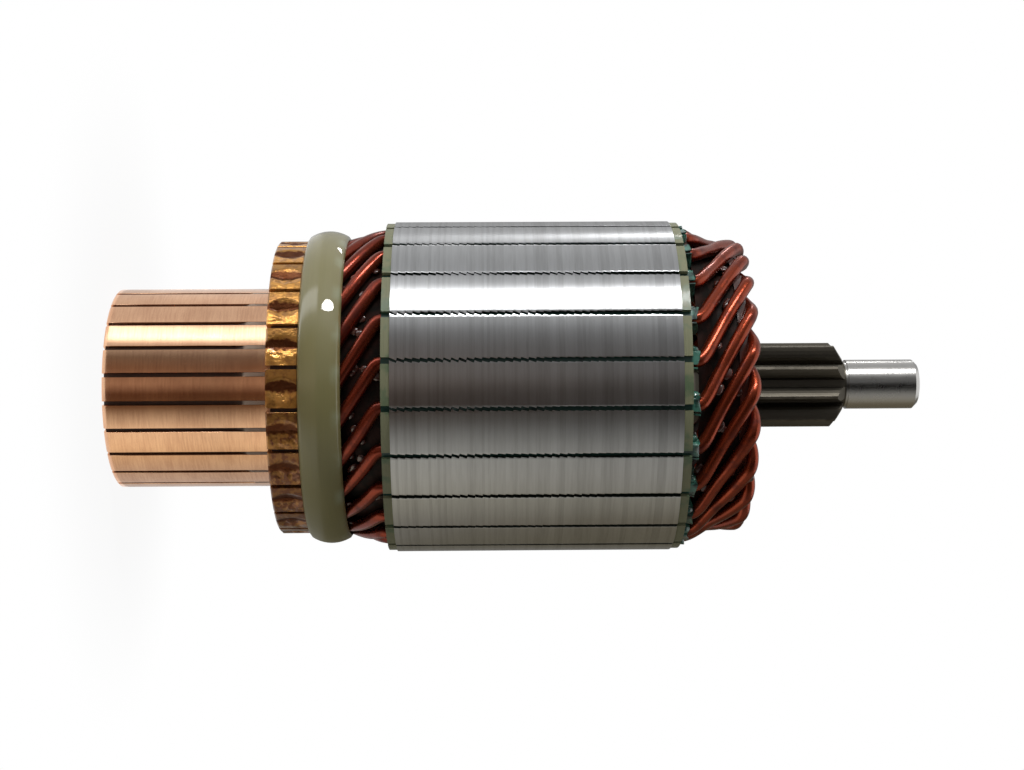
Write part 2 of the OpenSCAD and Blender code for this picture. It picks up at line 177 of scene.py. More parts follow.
class CommutatorSettings(bpy.types.PropertyGroup):
    """Sizes and colours of the commutator."""

    track_d: length("Track", "Diameter of the brush track", 36)
    track_len: length("Track length", "Length of the brush track", 29.2)
    riser_d: length("Risers", "Diameter over the risers", 53.2)
    bar_gap: length("Bar gap", "Gap between two bars", 0.7)
    bar_depth: length("Bar depth", "Depth of a bar below the track", 3)
    foot_depth: length("Foot depth", "Depth of the dovetail foot below that", 2.2)
    foot_set: length("Foot set", "Distance of the foot from the bar's ends", 3)
    dovetail: length("Dovetail", "Undercut of the foot", 3)
    edge: length("Edge", "Chamfer on the copper's outer edges", 0.3)
    long_edge: length("Long edge", "Rounding of the bars' long edges", 0.07)
    fillet: length("Fillet", "Rounding between track and riser", 0.5)
    wire_room: length("Wire room", "Room around a wire in its riser", 0.06)
    dent_depth: length("Dent", "Depth of the staking dent", 0.66)
    dent_line: share("Dent line", "Place of the dent's deepest line across a bar", 0.51)
    dent_reach: share("Dent reach", "Share of a bar from that line to the dent's edge", 0.31)
    lump: length("Lumps", "Height of the lumps that staking leaves", 0.24)
    copper_tint: tint("Copper", "Turned copper of the track", 0.92, 0.555, 0.345)
    tarnish_tint: tint("Tarnish", "Darker turning marks on the track", 0.76, 0.43, 0.265)
    land_tint: tint("Riser lands", "Copper beside the staking dents", 0.58, 0.28, 0.06)
    amber_tint: tint("Varnished copper", "Staked copper under amber varnish", 0.94, 0.46, 0.10)
    # Painted shade: the shaded side of each staking dent is painted in this dark colour.
    painted_dent_shade_tint: tint("Burnt varnish", "Shaded side of the dents under thick varnish", 0.15, 0.042, 0.012)
    # Serves both real pooled varnish and painted shade on the risers' side away from the lamps.
    umber_pool_and_shade_tint: tint("Brown varnish", "Risers where the varnish ran together", 0.19, 0.062, 0.020)
    phenolic_tint: tint("Moulding", "Brown phenolic between the bars", 0.030, 0.014, 0.009)
    turned_tint: tint("Turned moulding", "Moulding turned flush with the track", 0.40, 0.30, 0.23)


class BandingSettings(bpy.types.PropertyGroup):
    """Sizes and colours of the resin-bonded glass band."""

    crown: length("Crown", "Height of the band's crown", 1.15)
    edge_t: length("Edge", "Thickness of the band at its edges", 0.4)
    edge_round: length("Edge round", "Rounding of the band's edges", 0.28)
    swell: length("Swell", "Height of the bulge where a wire leaves the band", 0.03)
    wave: length("Wave", "Unevenness of the wound tape", 0.03)
    resin_tint: tint("Resin", "Olive grey resin", 0.265, 0.238, 0.092)
    thin_tint: tint("Thin resin", "Paler resin over a wire", 0.32, 0.325, 0.18)


class ShaftSettings(bpy.types.PropertyGroup):
    """Places and colours of the shaft's finishes."""

    journal_z: length("Journal", "Height where the ground journal begins", 132.2)
    black_tint: tint("Gear", "Blackened steel of the sun gear", 0.13, 0.118, 0.095)
    worn_tint: tint("Tooth tips", "Steel that shows at the tips of the teeth", 0.21, 0.19, 0.155)
    tip_r: length("Tip radius", "Radius of the gear's tips", 7.80)
    ground_tint: tint("Journal", "Ground steel of the journals", 0.58, 0.57, 0.55)


class StageSettings(bpy.types.PropertyGroup):
    """Camera, lights, cards and floor."""

    lens: FloatProperty(name="Lens", description="Focal length, 36 mm sensor", default=59.8, unit="CAMERA")
    distance: length("Distance", "From the camera to the shaft's axis", 312)
    orbit: angle("Orbit", "Turn of the camera about the axis, towards the picture's lower edge", 0.4)
    eye_z: length("Eye", "Height of the camera", 66.1)
    aim_z: length("Aim", "Height that the middle of the picture shows", 71.05)
    aim_x: length("Aim aside", "Sideways place that the middle of the picture shows", -0.21)
    roll: angle("Roll", "Tilt of the shaft in the picture", 0.33)
    floor_size: length("Floor", "Side of the floor", 4000)
    floor_drop: length("Floor drop", "Gap under the commutator's end", 0.05)
    shadow: share("Shadow", "How much of the floor's white beside the part is lit by the lamps", 0.07)
    shadow_r: length("Shadow reach", "Radius where the floor is plain white again", 66)
    sky: tint("Sky", "Soft light from the picture's upper edge", 0.34, 0.34, 0.345)
    ground: tint("Ground", "Soft light from the picture's lower edge", 0.05, 0.048, 0.044)
    lamp_r: length("Lamp distance", "From the axis to the lamps", 500)
    lamp_z: length("Lamp height", "Height of the lamps' middles", 200)
    key_turn: angle("Key", "Direction of the key lamp, from the camera's", -61.5)
    key_w: length("Key width", "Width of the key lamp", 85)
    key_len: length("Key length", "Length of the key lamp along the shaft", 310)
    key_glow: FloatProperty(name="Key glow", description="Radiance of the key lamp", default=20.0)
    rim_turn: angle("Rim", "Direction of the rim lamp, from the camera's", -126)
    rim_w: length("Rim width", "Width of the rim lamp", 38)
    rim_len: length("Rim length", "Length of the rim lamp along the shaft", 100)
    rim_glow: FloatProperty(name="Rim glow", description="Radiance of the rim lamp", default=14.0)
    lamp_lean: angle("Lamp lean", "How far the lamps' upper ends lean away from the camera", 12)
    card_r: length("Card distance", "From the axis to the reflection card", 620)
    card_foot: length("Card foot", "Radius where the card begins on the floor", 18.6)
    card_near: length("Card apron", "Radius of the card's bright apron on the floor", 150)
    card_h: length("Card height", "Height of the card", 900)


GROUPS = {
    "rotor_winding": WindingSettings,
    "rotor_core": CoreSettings,
    "rotor_commutator": CommutatorSettings,
    "rotor_banding": BandingSettings,
    "rotor_shaft": ShaftSettings,
    "rotor_stage": StageSettings,
}


# Shader maths

def operator_pair(operation):
    """An operator that adds a Math node, and its reflected form."""

    def plain(self, other):
        return self.math(operation, self, other)

    def reflected(self, other):
        return self.math(operation, other, self)

    return plain, reflected


class Value:
    """A socket in a node tree. Operators add Math nodes to it, and node() adds any other node."""

    # Places of the colour sockets of a Mix node
    mix_first = 6
    mix_second = 7
    mix_result = 2

    def __init__(self, tree, socket=None):
        self.tree = tree
        self.socket = socket

    def node(self, kind, settings=None, sockets=None, output=0):
        """Adds a node: its settings first, then the values or links of its sockets."""
        made = self.tree.nodes.new("ShaderNode" + kind)
        for key, value in (settings or {}).items():
            if key == "stops":
                set_stops(made.color_ramp, value)
            else:
                setattr(made, key, value)
        for key, value in (sockets or {}).items():
            if isinstance(value, Value):
                self.tree.links.new(value.socket, made.inputs[key])
            else:
                made.inputs[key].default_value = value
        return Value(self.tree, made.outputs[output])

    def output(self, name):
        """Another output of the same node."""
        return Value(self.tree, self.socket.node.outputs[name])

    def math(self, operation, *values):
        """A Math node on values or numbers."""
        return self.node("Math", {"operation": operation}, dict(enumerate(values)))

    __add__, __radd__ = operator_pair("ADD")
    __sub__, __rsub__ = operator_pair("SUBTRACT")
    __mul__, __rmul__ = operator_pair("MULTIPLY")
    __truediv__, __rtruediv__ = operator_pair("DIVIDE")
    __pow__, __rpow__ = operator_pair("POWER")

    def ramp(self, low, high):
        """0 below low and 1 above high, with an even rise between them. High may be the lower one."""
        sockets = {"Value": self, "From Min": low, "From Max": high, "To Min": 0.0, "To Max": 1.0}
        return self.node("MapRange", {"interpolation_type": "SMOOTHSTEP"}, sockets)

    def mix(self, first, second):
        """From the first colour at 0 to the second at 1."""
        sockets = {"Factor": self, self.mix_first: paint(first), self.mix_second: paint(second)}
        return self.node("Mix", {"data_type": "RGBA"}, sockets, self.mix_result)


def set_stops(ramp, stops):
    """Gives a colour ramp its stops, as pairs of place and grey or colour."""
    while len(ramp.elements) < len(stops):
        ramp.elements.new(1.0)
    for element, (place, colour) in zip(ramp.elements, stops):
        element.position = place
        element.color = paint(colour)


def paint(colour):
    """A colour of four values, or the value that stands for one."""
    if isinstance(colour, Value):
        return colour
    if isinstance(colour, float):
        return (colour, colour, colour, 1.0)
    return (*colour, 1.0)


def shade(colour, factor):
    """A colour made darker by a factor below 1, or lighter by one above it."""
    return tuple(factor * part for part in colour)


class Finish:
    """A material in the making. Its place on the surface is given as values in metres and radians."""

    def __init__(self, name, fixed):
        self.material = bpy.data.materials.new(name)
        self.material.use_nodes = True
        self.start = Value(self.material.node_tree)
        self.shader = self.material.node_tree.nodes["Principled BSDF"]
        for socket, value in fixed.items():
            self.shader.inputs[socket].default_value = value
        self.place = self.start.node("TexCoord", output="Object")
        parts = self.start.node("SeparateXYZ", {}, {0: self.place})
        self.x, self.y, self.z = (parts.output(axis) for axis in "XYZ")
        self.radius = (self.x * self.x + self.y * self.y) ** 0.5
        self.turn = self.start.math("ARCTAN2", self.y, self.x)

    def grain(self, size, detail=2.0, at=None):
        """Noise with features of a size, from 0 to 1."""
        sockets = {"Vector": at or self.place, "Scale": 1 / size, "Detail": detail}
        return self.start.node("TexNoise", {}, sockets)

    def rings(self, size, drift, detail=2.0):
        """Noise in rings around the axis: features of a size along it, which drift slowly around it."""
        at = self.start.node("CombineXYZ", {}, {"X": self.z, "Y": self.turn * (drift * size)})
        return self.grain(size, detail, at)

    def surface(self, shader):
        """Shows another shader in place of the principled one, and gives the material."""
        nodes = self.material.node_tree.nodes
        nodes.remove(self.shader)
        self.material.node_tree.links.new(shader.socket, nodes["Material Output"].inputs["Surface"])
        return self.material

    def cover(self, varied, height=None, relief=0.0):
        """Links the varied sockets, and a bump of a relief in metres, and gives the material."""
        if height is not None:
            bump = self.start.node("Bump", {}, {"Height": height, "Distance": relief, "Strength": 1.0})
            varied = {**varied, "Normal": bump}
        for socket, value in varied.items():
            self.material.node_tree.links.new(value.socket, self.shader.inputs[socket])
        return self.material


# Finishes

def lamination_finish(core):
    """Turned steel over a stack of sheets, with the slits' walls painted dark below the surface as shade."""
    finish = Finish("turned_laminations", {"Anisotropic": 0.95, "Anisotropic Rotation": ALONG_SHAFT})
    sheet = finish.start.math("FLOOR", finish.z / core.sheet_pitch)
    single = finish.start.node("TexWhiteNoise", {"noise_dimensions": "1D"}, {"W": sheet})
    broad = finish.rings(4.0 * MM, 0.5)
    fine = finish.rings(0.35 * MM, 6.0, 3.0)
    smear = finish.grain(9 * MM, 3.0)
    dark = single * 0.30 + broad * 0.45 + fine * 0.45 - 0.28
    steel = dark.ramp(0.0, 0.85).mix(core.steel_tint, core.streak_tint)
    # Painted shade: below the core's surface the slits' walls take the dark slot colour and lose most of
    # their metal.
    inside = finish.radius.ramp(CORE_R - 0.10 * MM, CORE_R - 0.30 * MM)
    colour = inside.mix(steel, core.painted_slot_shade_tint)
    rough = 0.25 + 0.08 * fine + 0.08 * smear + 0.30 * inside
    height = fine * 0.5 + single * 0.5
    varied = {"Base Color": colour, "Roughness": rough, "Metallic": 1.0 - 0.8 * inside}
    return finish.cover(varied, height, 0.005 * MM)


def end_sheet_finish(core):
    """Pressed laminate with green varnish in patches."""
    finish = Finish("end_sheet_laminate", {"Coat Weight": 0.35, "Coat Roughness": 0.12})
    patch = finish.grain(3.5 * MM, 3.0).ramp(0.50, 0.68)
    fibre = finish.rings(0.18 * MM, 3.0)
    bare = fibre.mix(core.sheet_tint, shade(core.sheet_tint, 0.75))
    colour = patch.mix(bare, core.sheet_stain)
    return finish.cover({"Base Color": colour, "Roughness": 0.62 - 0.3 * patch}, fibre, 0.03 * MM)


def liner_finish(core):
    """Green film, darker where brown varnish has run over it, and painted darker along the core as shade in
    the slots.
    """
    finish = Finish("liner_film", {"Coat Weight": 0.9, "Coat Roughness": 0.04, "Roughness": 0.3})
    stain = finish.grain(1.6 * MM, 3.0).ramp(0.40, 0.62)
    # Painted shade: all along the core, where the film lies deep in the slots, it takes the darker colour.
    inside = finish.z.ramp(SHEET_Z1 + 0.3 * MM, SHEET_Z1 - 0.3 * MM)
    colour = finish.start.math("MAXIMUM", stain, inside * 0.85).mix(core.liner_tint, core.liner_stain_and_shade_tint)
    return finish.cover({"Base Color": colour}, finish.grain(0.5 * MM), 0.05 * MM)


def layer_finish(core):
    """Insulation paper soaked in dark varnish."""
    finish = Finish("layer_paper", {"Specular IOR Level": 0.12})
    cloud = finish.grain(2.0 * MM, 3.0)
    colour = cloud.ramp(0.35, 0.65).mix(core.layer_tint, core.layer_dark)
    return finish.cover({"Base Color": colour, "Roughness": 0.45 + 0.2 * cloud}, cloud, 0.05 * MM)


def enamel_finish(winding):
    """Red enamel over copper wire, duller where varnish lies thick."""
    finish = Finish("red_enamel", {"Coat Weight": 0.2, "Coat Roughness": 0.08, "Metallic": 0.8})
    along = finish.z.ramp(SHEET_Z0, SHEET_Z1)
    bright = along.mix(winding.front_tint, winding.drive_tint)
    thick = finish.grain(2.4 * MM, 4.0).ramp(0.46, 0.74)
    colour = (thick * 0.8).mix(bright, winding.dull_tint)
    ripple = finish.grain(0.9 * MM, 2.0)
    return finish.cover({"Base Color": colour, "Roughness": 0.26 + 0.16 * thick}, ripple, 0.035 * MM)


def varnish_finish(winding):
    """Brown varnish, set hard and clear."""
    finish = Finish("varnish", {"Coat Weight": 1.0, "Coat Roughness": 0.04, "Roughness": 0.2})
    depth = finish.grain(0.8 * MM)
    colour = depth.mix(winding.varnish_tint, winding.dull_tint)
    return finish.cover({"Base Color": colour}, depth, 0.02 * MM)


def copper_finish(commutator, winding):
    """Turned copper on the track, and amber varnish over the risers, with painted shade in the staking dents
    and on the risers' side away from the lamps.
    """
    turned_copper = {"Coat Roughness": 0.08, "Anisotropic": 0.9, "Anisotropic Rotation": ALONG_SHAFT}
    finish = Finish("commutator_copper", turned_copper)
    track_r = commutator.track_d / 2
    riser = finish.radius.ramp(track_r + 0.2 * MM, track_r + 1.4 * MM)
    fine = finish.rings(0.30 * MM, 5.0, 3.0)
    broad = finish.rings(2.5 * MM, 0.8)
    cloud = finish.grain(5.0 * MM, 3.0)
    worn = (fine * 0.5 + broad * 0.5 + cloud * 0.5).ramp(0.55, 1.0)
    track = worn.mix(commutator.copper_tint, commutator.tarnish_tint)
    pool = finish.grain(1.3 * MM, 4.0).ramp(0.42, 0.66)
    phase = winding.first_slot + winding.bar_lead
    across = finish.start.math("FRACT", (finish.turn - phase) / PITCH)
    along = (finish.z - commutator.track_len) / (RISER_Z1 - commutator.track_len) * 2.0 - 1.0
    ragged = (finish.grain(0.9 * MM, 3.0) - 0.5) * 0.7
    off = (across - commutator.dent_line) / ((2.0 - along * along) * (commutator.dent_reach / 2)) + ragged
    # Painted shade: the side of each dent that lies in shade, painted dark brown.
    painted_dent_shade = off.ramp(-0.85, -0.55) * off.ramp(0.4, 0.1)
    # Painted shade: the risers turn darker brown on their side away from the lamps.
    painted_lower_shade = (finish.x / finish.radius).ramp(-0.35, 0.75)
    staked = off.ramp(-0.5, -0.9).mix(commutator.amber_tint, commutator.land_tint)
    staked = (pool * 0.5 + painted_lower_shade * 0.75).mix(staked, commutator.umber_pool_and_shade_tint)
    staked = painted_dent_shade.mix(staked, pool.mix(commutator.painted_dent_shade_tint, commutator.umber_pool_and_shade_tint))
    colour = riser.mix(track, staked)
    rough = 0.13 + 0.09 * fine + 0.05 * cloud + riser * (0.12 + 0.25 * painted_dent_shade)
    crinkle = finish.grain(0.45 * MM, 3.0)
    height = fine * (1.0 - riser) * 0.05 + crinkle * riser
    varied = {
        "Base Color": colour, "Roughness": rough,
        "Coat Weight": riser * (0.6 - 0.5 * painted_dent_shade), "Metallic": 1.0 - riser * (0.35 - 0.2 * painted_dent_shade),
    }
    return finish.cover(varied, height, 0.10 * MM)


def phenolic_finish(commutator):
    """Brown moulding compound."""
    finish = Finish("phenolic", {})
    track_r = commutator.track_d / 2
    speck = finish.grain(0.4 * MM, 4.0)
    brown = speck.mix(commutator.phenolic_tint, shade(commutator.phenolic_tint, 1.9))
    before_riser = finish.z.ramp(commutator.track_len, commutator.track_len - 0.2 * MM)
    flush = before_riser * finish.radius.ramp(track_r - 0.25 * MM, track_r - 0.05 * MM)
    colour = flush.mix(brown, commutator.turned_tint)
    return finish.cover({"Base Color": colour, "Roughness": 0.38 + 0.25 * speck}, speck, 0.03 * MM)


def resin_finish(banding, wire_turn):
    """Glossy resin over wound glass tape, paler where it is thin."""
    finish = Finish("banding_resin", {"Coat IOR": 1.65, "Coat Roughness": 0.03, "Roughness": 0.6})
    near_edge = finish.z.ramp(BAND_Z1 - 2.0 * MM, BAND_Z1 - 0.6 * MM)
    cloud = finish.grain(6.0 * MM, 3.0)
    tape = finish.rings(0.25 * MM, 1.5, 2.0)
    aside = finish.start.math("FRACT", (finish.turn - wire_turn) / PITCH + 0.5) - 0.5
    pale = near_edge * finish.start.math("ABSOLUTE", aside).ramp(0.34, 0.05) * cloud.ramp(0.30, 0.55)
    resin = (tape * 0.4).mix(banding.resin_tint, shade(banding.resin_tint, 0.8))
    colour = pale.mix(resin, banding.thin_tint)
    dull = (finish.x / finish.radius).ramp(0.0, 0.7)
    varied = {"Base Color": colour, "Coat Weight": 1.0 - 0.8 * dull}
    return finish.cover(varied, tape * 0.5 + cloud, 0.02 * MM)


def shaft_finish(shaft):
    """Blackened gear with bright tips, and ground journals."""
    finish = Finish("shaft_steel", {"Metallic": 1.0, "Anisotropic": 0.6, "Anisotropic Rotation": ALONG_SHAFT})
    ground = finish.z.ramp(shaft.journal_z - 0.5 * MM, shaft.journal_z - 0.3 * MM)
    marks = finish.rings(0.22 * MM, 4.0, 3.0)
    smut = finish.grain(2.2 * MM, 4.0)
    tip = finish.radius.ramp(shaft.tip_r - 0.25 * MM, shaft.tip_r - 0.02 * MM) * smut.ramp(0.30, 0.60)
    gear = tip.mix(shaft.black_tint, shaft.worn_tint)
    colour = ground.mix(gear, shaft.ground_tint)
    rough = 0.44 + 0.14 * smut - ground * 0.26 + 0.08 * marks
    return finish.cover({"Base Color": colour, "Roughness": rough}, marks, 0.006 * MM)


def sleeve_finish(shaft):
    """Plain turned steel."""
    finish = Finish("sleeve_steel", {"Metallic": 1.0})
    marks = finish.rings(0.3 * MM, 4.0, 3.0)
    colour = marks.mix(shaft.ground_tint, shade(shaft.ground_tint, 0.7))
    return finish.cover({"Base Color": colour, "Roughness": 0.3 + 0.15 * marks}, marks, 0.01 * MM)


# Mesh tools

def grid_faces(rows, columns, closed):
    """Quads between rows of points that follow each other, closed around each row or open."""
    faces = []
    for low in range(0, (rows - 1) * columns, columns):
        high = low + columns
        for j in range(columns if closed else columns - 1):
            after = (j + 1) % columns
            faces.append((low + j, low + after, high + after, high + j))
    return faces


def loft(sections):
    """Points and faces of a closed skin through sections of equal length, with a cap at both ends."""
    rows, columns = sections.shape[:2]
    faces = grid_faces(rows, columns, True)
    faces.append(tuple(range(columns)))
    faces.append(tuple(range((rows - 1) * columns, rows * columns)))
    return sections.reshape(-1, 3), faces


def closed_ring(sections):
    """Points and faces of a skin through sections around the axis, which closes on itself."""
    rows, columns = sections.shape[:2]
    faces = grid_faces(rows + 1, columns, True)
    faces = [tuple(index % (rows * columns) for index in face) for face in faces]
    return sections.reshape(-1, 3), faces


def joined(skins):
    """Several skins as one list of points and one of faces."""
    points = []
    faces = []
    count = 0
    for some_points, some_faces in skins:
        points.append(some_points)
        faces += [tuple(index + count for index in face) for face in some_faces]
        count += len(some_points)
    return np.concatenate(points), faces


def turned(points, direction):
    """Points turned about the axis."""
    cosine, sine = math.cos(direction), math.sin(direction)
    return points @ np.array(((cosine, sine, 0), (-sine, cosine, 0), (0, 0, 1)))


def polar(r, turn, z):
    """Points from radii, turns about the axis and heights, where any may be one number for all points."""
    return np.stack(np.broadcast_arrays(r * np.cos(turn), r * np.sin(turn), z), axis=-1)


def unit_rows(vectors):
    """Rows of vectors, each brought to length 1."""
    return vectors / np.linalg.norm(vectors, axis=1)[:, None]


def once_around(count):
    """Evenly spaced turns about the axis."""
    return np.linspace(0, 2 * math.pi, count, endpoint=False)


def nearest(turn):
    """A turn brought to within half a slot pitch of 0."""
    return (turn + PITCH / 2) % PITCH - PITCH / 2


def any_place(random):
    """A place of its own in the noise, so that no two lumps are alike."""
    return Vector(random.uniform(0, 50, 3))


def add_loop(work, points):
    """New points of a mesh in the making."""
    return [work.verts.new(point) for point in points]


def bridge(work, first, second):
    """Quads between two closed loops of as many points."""
    for k in range(len(first)):
        work.faces.new((first[k - 1], first[k], second[k], second[k - 1]))


def fill_between(work, outside, inside):
    """Fills the flat face between an outline and a hole in it."""
    edges = [work.edges.get((loop[k - 1], loop[k])) for loop in (outside, inside) for k in range(len(loop))]
    bmesh.ops.triangle_fill(work, use_beauty=True, edges=edges)


def as_mesh(work, name):
    """The mesh that was in the making."""
    mesh = bpy.data.meshes.new(name)
    work.to_mesh(mesh)
    work.free()
    return mesh


def show(name, data):
    """Puts an object into the scene."""
    thing = bpy.data.objects.new(name, data)
    bpy.context.scene.collection.objects.link(thing)
    return thing


def add_piece(name, skin, material, crease=40):
    """Makes a piece from a skin, faces outwards and shaded smooth but for its creases, and lets it ride."""
    mesh = bpy.data.meshes.new(name)
    points, faces = skin
    mesh.from_pydata(points.tolist(), [], faces)
    return finish_piece(name, mesh, material, crease)


def brush_around(mesh):
    """Centres a mesh's texture space on the shaft's axis, so that its brushed sheen runs around that axis."""
    mesh.use_auto_texspace = False
    mesh.texspace_location = (0, 0, HALF_Z)
    mesh.texspace_size = (CORE_R, CORE_R, HALF_Z)


def finish_piece(name, mesh, material, crease):
    """Turns a mesh's faces outwards, shades it, and makes it a piece that rides with the part."""
    work = bmesh.new()
    work.from_mesh(mesh)
    bmesh.ops.recalc_face_normals(work, faces=work.faces)
    work.to_mesh(mesh)
    work.free()
    mesh.shade_smooth()
    mesh.set_sharp_from_angle(angle=math.radians(crease))
    mesh.materials.append(material)
    piece = show(name, mesh)
    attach(piece, BODY)
    return piece


def dress_node(node, material):
    """Gives a solid that stays its finish."""
    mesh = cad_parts[node].data
    mesh.materials.clear()
    mesh.materials.append(material)


# Winding

def smooth(u):
    """From 0 to 1 with soft ends."""
    c = np.clip(u, 0, 1)
    return c * c * (3 - 2 * c)


def eased(u, ease):
    """From 0 to 1 with an even slope and a bend at both ends."""
    u = np.clip(u, 0, 1)
    bend = 2 * ease * (1 - ease)
    late = np.where(u > 1 - ease, 1 - (1 - u) ** 2 / bend, (u - ease / 2) / (1 - ease))
    return np.where(u < ease, u * u / bend, late)


class CoilRoute:
    """The line of a coil, by the same rules as its solid."""

    fan_ease = 0.12
    launch_ease = 0.25
    slope_step = 0.1 * MM
    fan_steps = 26
    launch_steps = 26
    nose_steps = 20

    def __init__(self, scene):
        winding = scene.rotor_winding
        self.winding = winding
        self.step = winding.wire_d + winding.layer_gap
        self.slot_r = CORE_R - winding.slot_depth
        self.riser_r = scene.rotor_commutator.riser_d / 2 - winding.riser_depth
        self.z_fan0 = RISER_Z1 + winding.straight
        self.z_rise0 = RISER_Z1 + winding.rise_start
        self.z_rise1 = (SHEET_Z0 + CORE_Z0) / 2
        self.z_launch = SHEET_Z1 + winding.launch_start
        self.z_drop0 = SHEET_Z1 + winding.drop_start
        self.z_drop1 = self.z_drop0 + winding.drop_len
        self.span = winding.coil_slots * PITCH
        self.outer_turn = winding.riser_pitches * PITCH + winding.bar_lead
        self.inner_turn = (SLOTS - 1) / 2 * PITCH - self.span - self.outer_turn
        self.nose_r = self.slot_r - winding.drop - self.step / 2
        self.nose_turn = winding.nose_bow / self.nose_r
        self.launch_turn = self.span / 2 - self.nose_turn
        bow_share = self.nose_turn * (1 - self.launch_ease / 2) / (2 * self.launch_turn)
        self.z_top = NOSE_Z - winding.wire_d / 2
        self.bow_h = (self.z_top - self.z_launch) * bow_share / (1 + bow_share)
        self.z_bow = self.z_top - self.bow_h

    def direction(self, number):
        """Direction of a slot, counted from 0."""
        return self.winding.first_slot + number * PITCH

    def launch(self, z):
        """Share of the turn to the nose that a leg has made at a height."""
        u = np.clip((z - self.z_launch) / (self.z_bow - self.z_launch), 0, None)
        ease = self.launch_ease
        return np.where(u < ease, u * u / (2 * ease), u - ease / 2) / (1 - ease / 2)

    def outer_r(self, z):
        """Radius of the outer layer at a height."""
        rise = smooth((z - self.z_rise0) / (self.z_rise1 - self.z_rise0))
        drop = smooth((z - self.z_drop0) / (self.z_drop1 - self.z_drop0))
        front = self.riser_r + (self.slot_r - self.riser_r) * rise
        return np.where(z < HALF_Z, front, self.slot_r - self.winding.drop * drop)

    def layer_r(self, z, depth):
        """Radius at a depth below the outer layer, measured across the layers."""
        gain = self.outer_r(z + self.slope_step) - self.outer_r(z - self.slope_step)
        slope = gain / (2 * self.slope_step)
        return self.outer_r(z) - depth * np.sqrt(1 + slope**2)

    def leg_turn(self, z, at_riser, at_nose):
        """Turn of a leg away from its slot at a height."""
        fan = 1 - eased((z - self.z_fan0) / (SHEET_Z0 - self.z_fan0), self.fan_ease)
        return np.where(z < HALF_Z, at_riser * fan, at_nose * self.launch(z))

    def heights(self):
        """Heights of a leg's points, close together where it bends."""
        fan = np.linspace(self.z_fan0, SHEET_Z0, self.fan_steps + 1)
        launch = np.linspace(self.z_launch, self.z_bow, self.launch_steps + 1)
        return np.concatenate(([WIRE_Z0], fan, [CORE_Z1], launch))

    def leg(self, depth, slot_turn, at_riser, at_nose, stray):
        """A leg as rows of radius, turn and height. Stray gives its sways in front of and behind the core."""
        z = self.heights()
        turn = slot_turn + self.leg_turn(z, at_riser, at_nose)
        fan = np.sin(math.pi * np.clip((z - self.z_fan0) / (SHEET_Z0 - self.z_fan0), 0, 1))
        launch = np.sin(math.pi * np.clip((z - self.z_launch) / (self.z_bow - self.z_launch), 0, 1))
        turn += (stray[0] * fan**2 + stray[1] * launch**2) / self.slot_r
        return np.stack((self.layer_r(z, depth), turn, z), axis=1)

    def nose(self):
        """The nose, over the top from the outer layer to the inner one."""
        along = np.linspace(-1, 1, self.nose_steps + 1)[1:-1]
        r = self.nose_r - self.step * (smooth((along + 1) / 2) - 0.5)
        turn = -self.span / 2 - self.nose_turn * along
        return np.stack((r, turn, self.z_top - self.bow_h * along**2), axis=1)

    def points(self, random):
        """The whole line of a coil in its first slot's direction, laid with a little sway."""
        stray = random.uniform(-1, 1, (2, 2)) * self.winding.sway
        outer = self.leg(0, 0, self.outer_turn, -self.launch_turn, stray[0])
        inner = self.leg(self.step, -self.span, -self.inner_turn, self.launch_turn, stray[1])
        return polar(*np.concatenate((outer, self.nose(), inner[::-1])).T)


def tube(line, radius, sides):
    """A round skin along a line, with flat ends."""
    along = unit_rows(np.gradient(line, axis=0))
    up = np.cross(along[0], (1.0, 0, 0))
    turns = once_around(sides)
    sections = []
    for point, ahead in zip(line, along):
        up = up - ahead * (up @ ahead)
        up /= np.linalg.norm(up)
        side = np.cross(ahead, up)
        sections.append(point + radius * (np.outer(np.cos(turns), up) + np.outer(np.sin(turns), side)))
    return loft(np.array(sections))


def bead(middle, axes, shift):
    """A drop with an uneven skin around a middle. Its axes are three vectors of half its lengths."""
    rows = 9
    turns = once_around(12)
    pole = 0.46 * math.pi
    lump = 0.25
    waves = 1.3
    sections = []
    for rise in np.linspace(-pole, pole, rows):
        ring = polar(math.cos(rise), turns, math.sin(rise))
        sections.append([point * (1 + lump * noise.noise(Vector(point) * waves + shift)) for point in ring])
    points, faces = loft(np.array(sections))
    return middle + points @ axes, faces


class ROTOR_OT_coils(bpy.types.Operator):
    """Lays the round enamelled coils in place of their faceted solids."""

    bl_idname = "rotor.coils"
    bl_label = "Coils"
    sides = 16
    seed = 7

    def execute(self, context):
        winding = context.scene.rotor_winding
        route = CoilRoute(context.scene)
        enamel = enamel_finish(winding)
        random = np.random.default_rng(self.seed)
        for number, node in enumerate(COILS):
            points, faces = tube(route.points(random), winding.wire_d / 2, self.sides)
            skin = turned(points, route.direction(number)), faces
            piece = add_piece("wire_" + node, skin, enamel, crease=60)
            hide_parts(node)
        paper = layer_finish(context.scene.rotor_core)
        for node in ("front_layer_insulation", "rear_layer_insulation"):
            dress_node(node, paper)
        return {"FINISHED"}


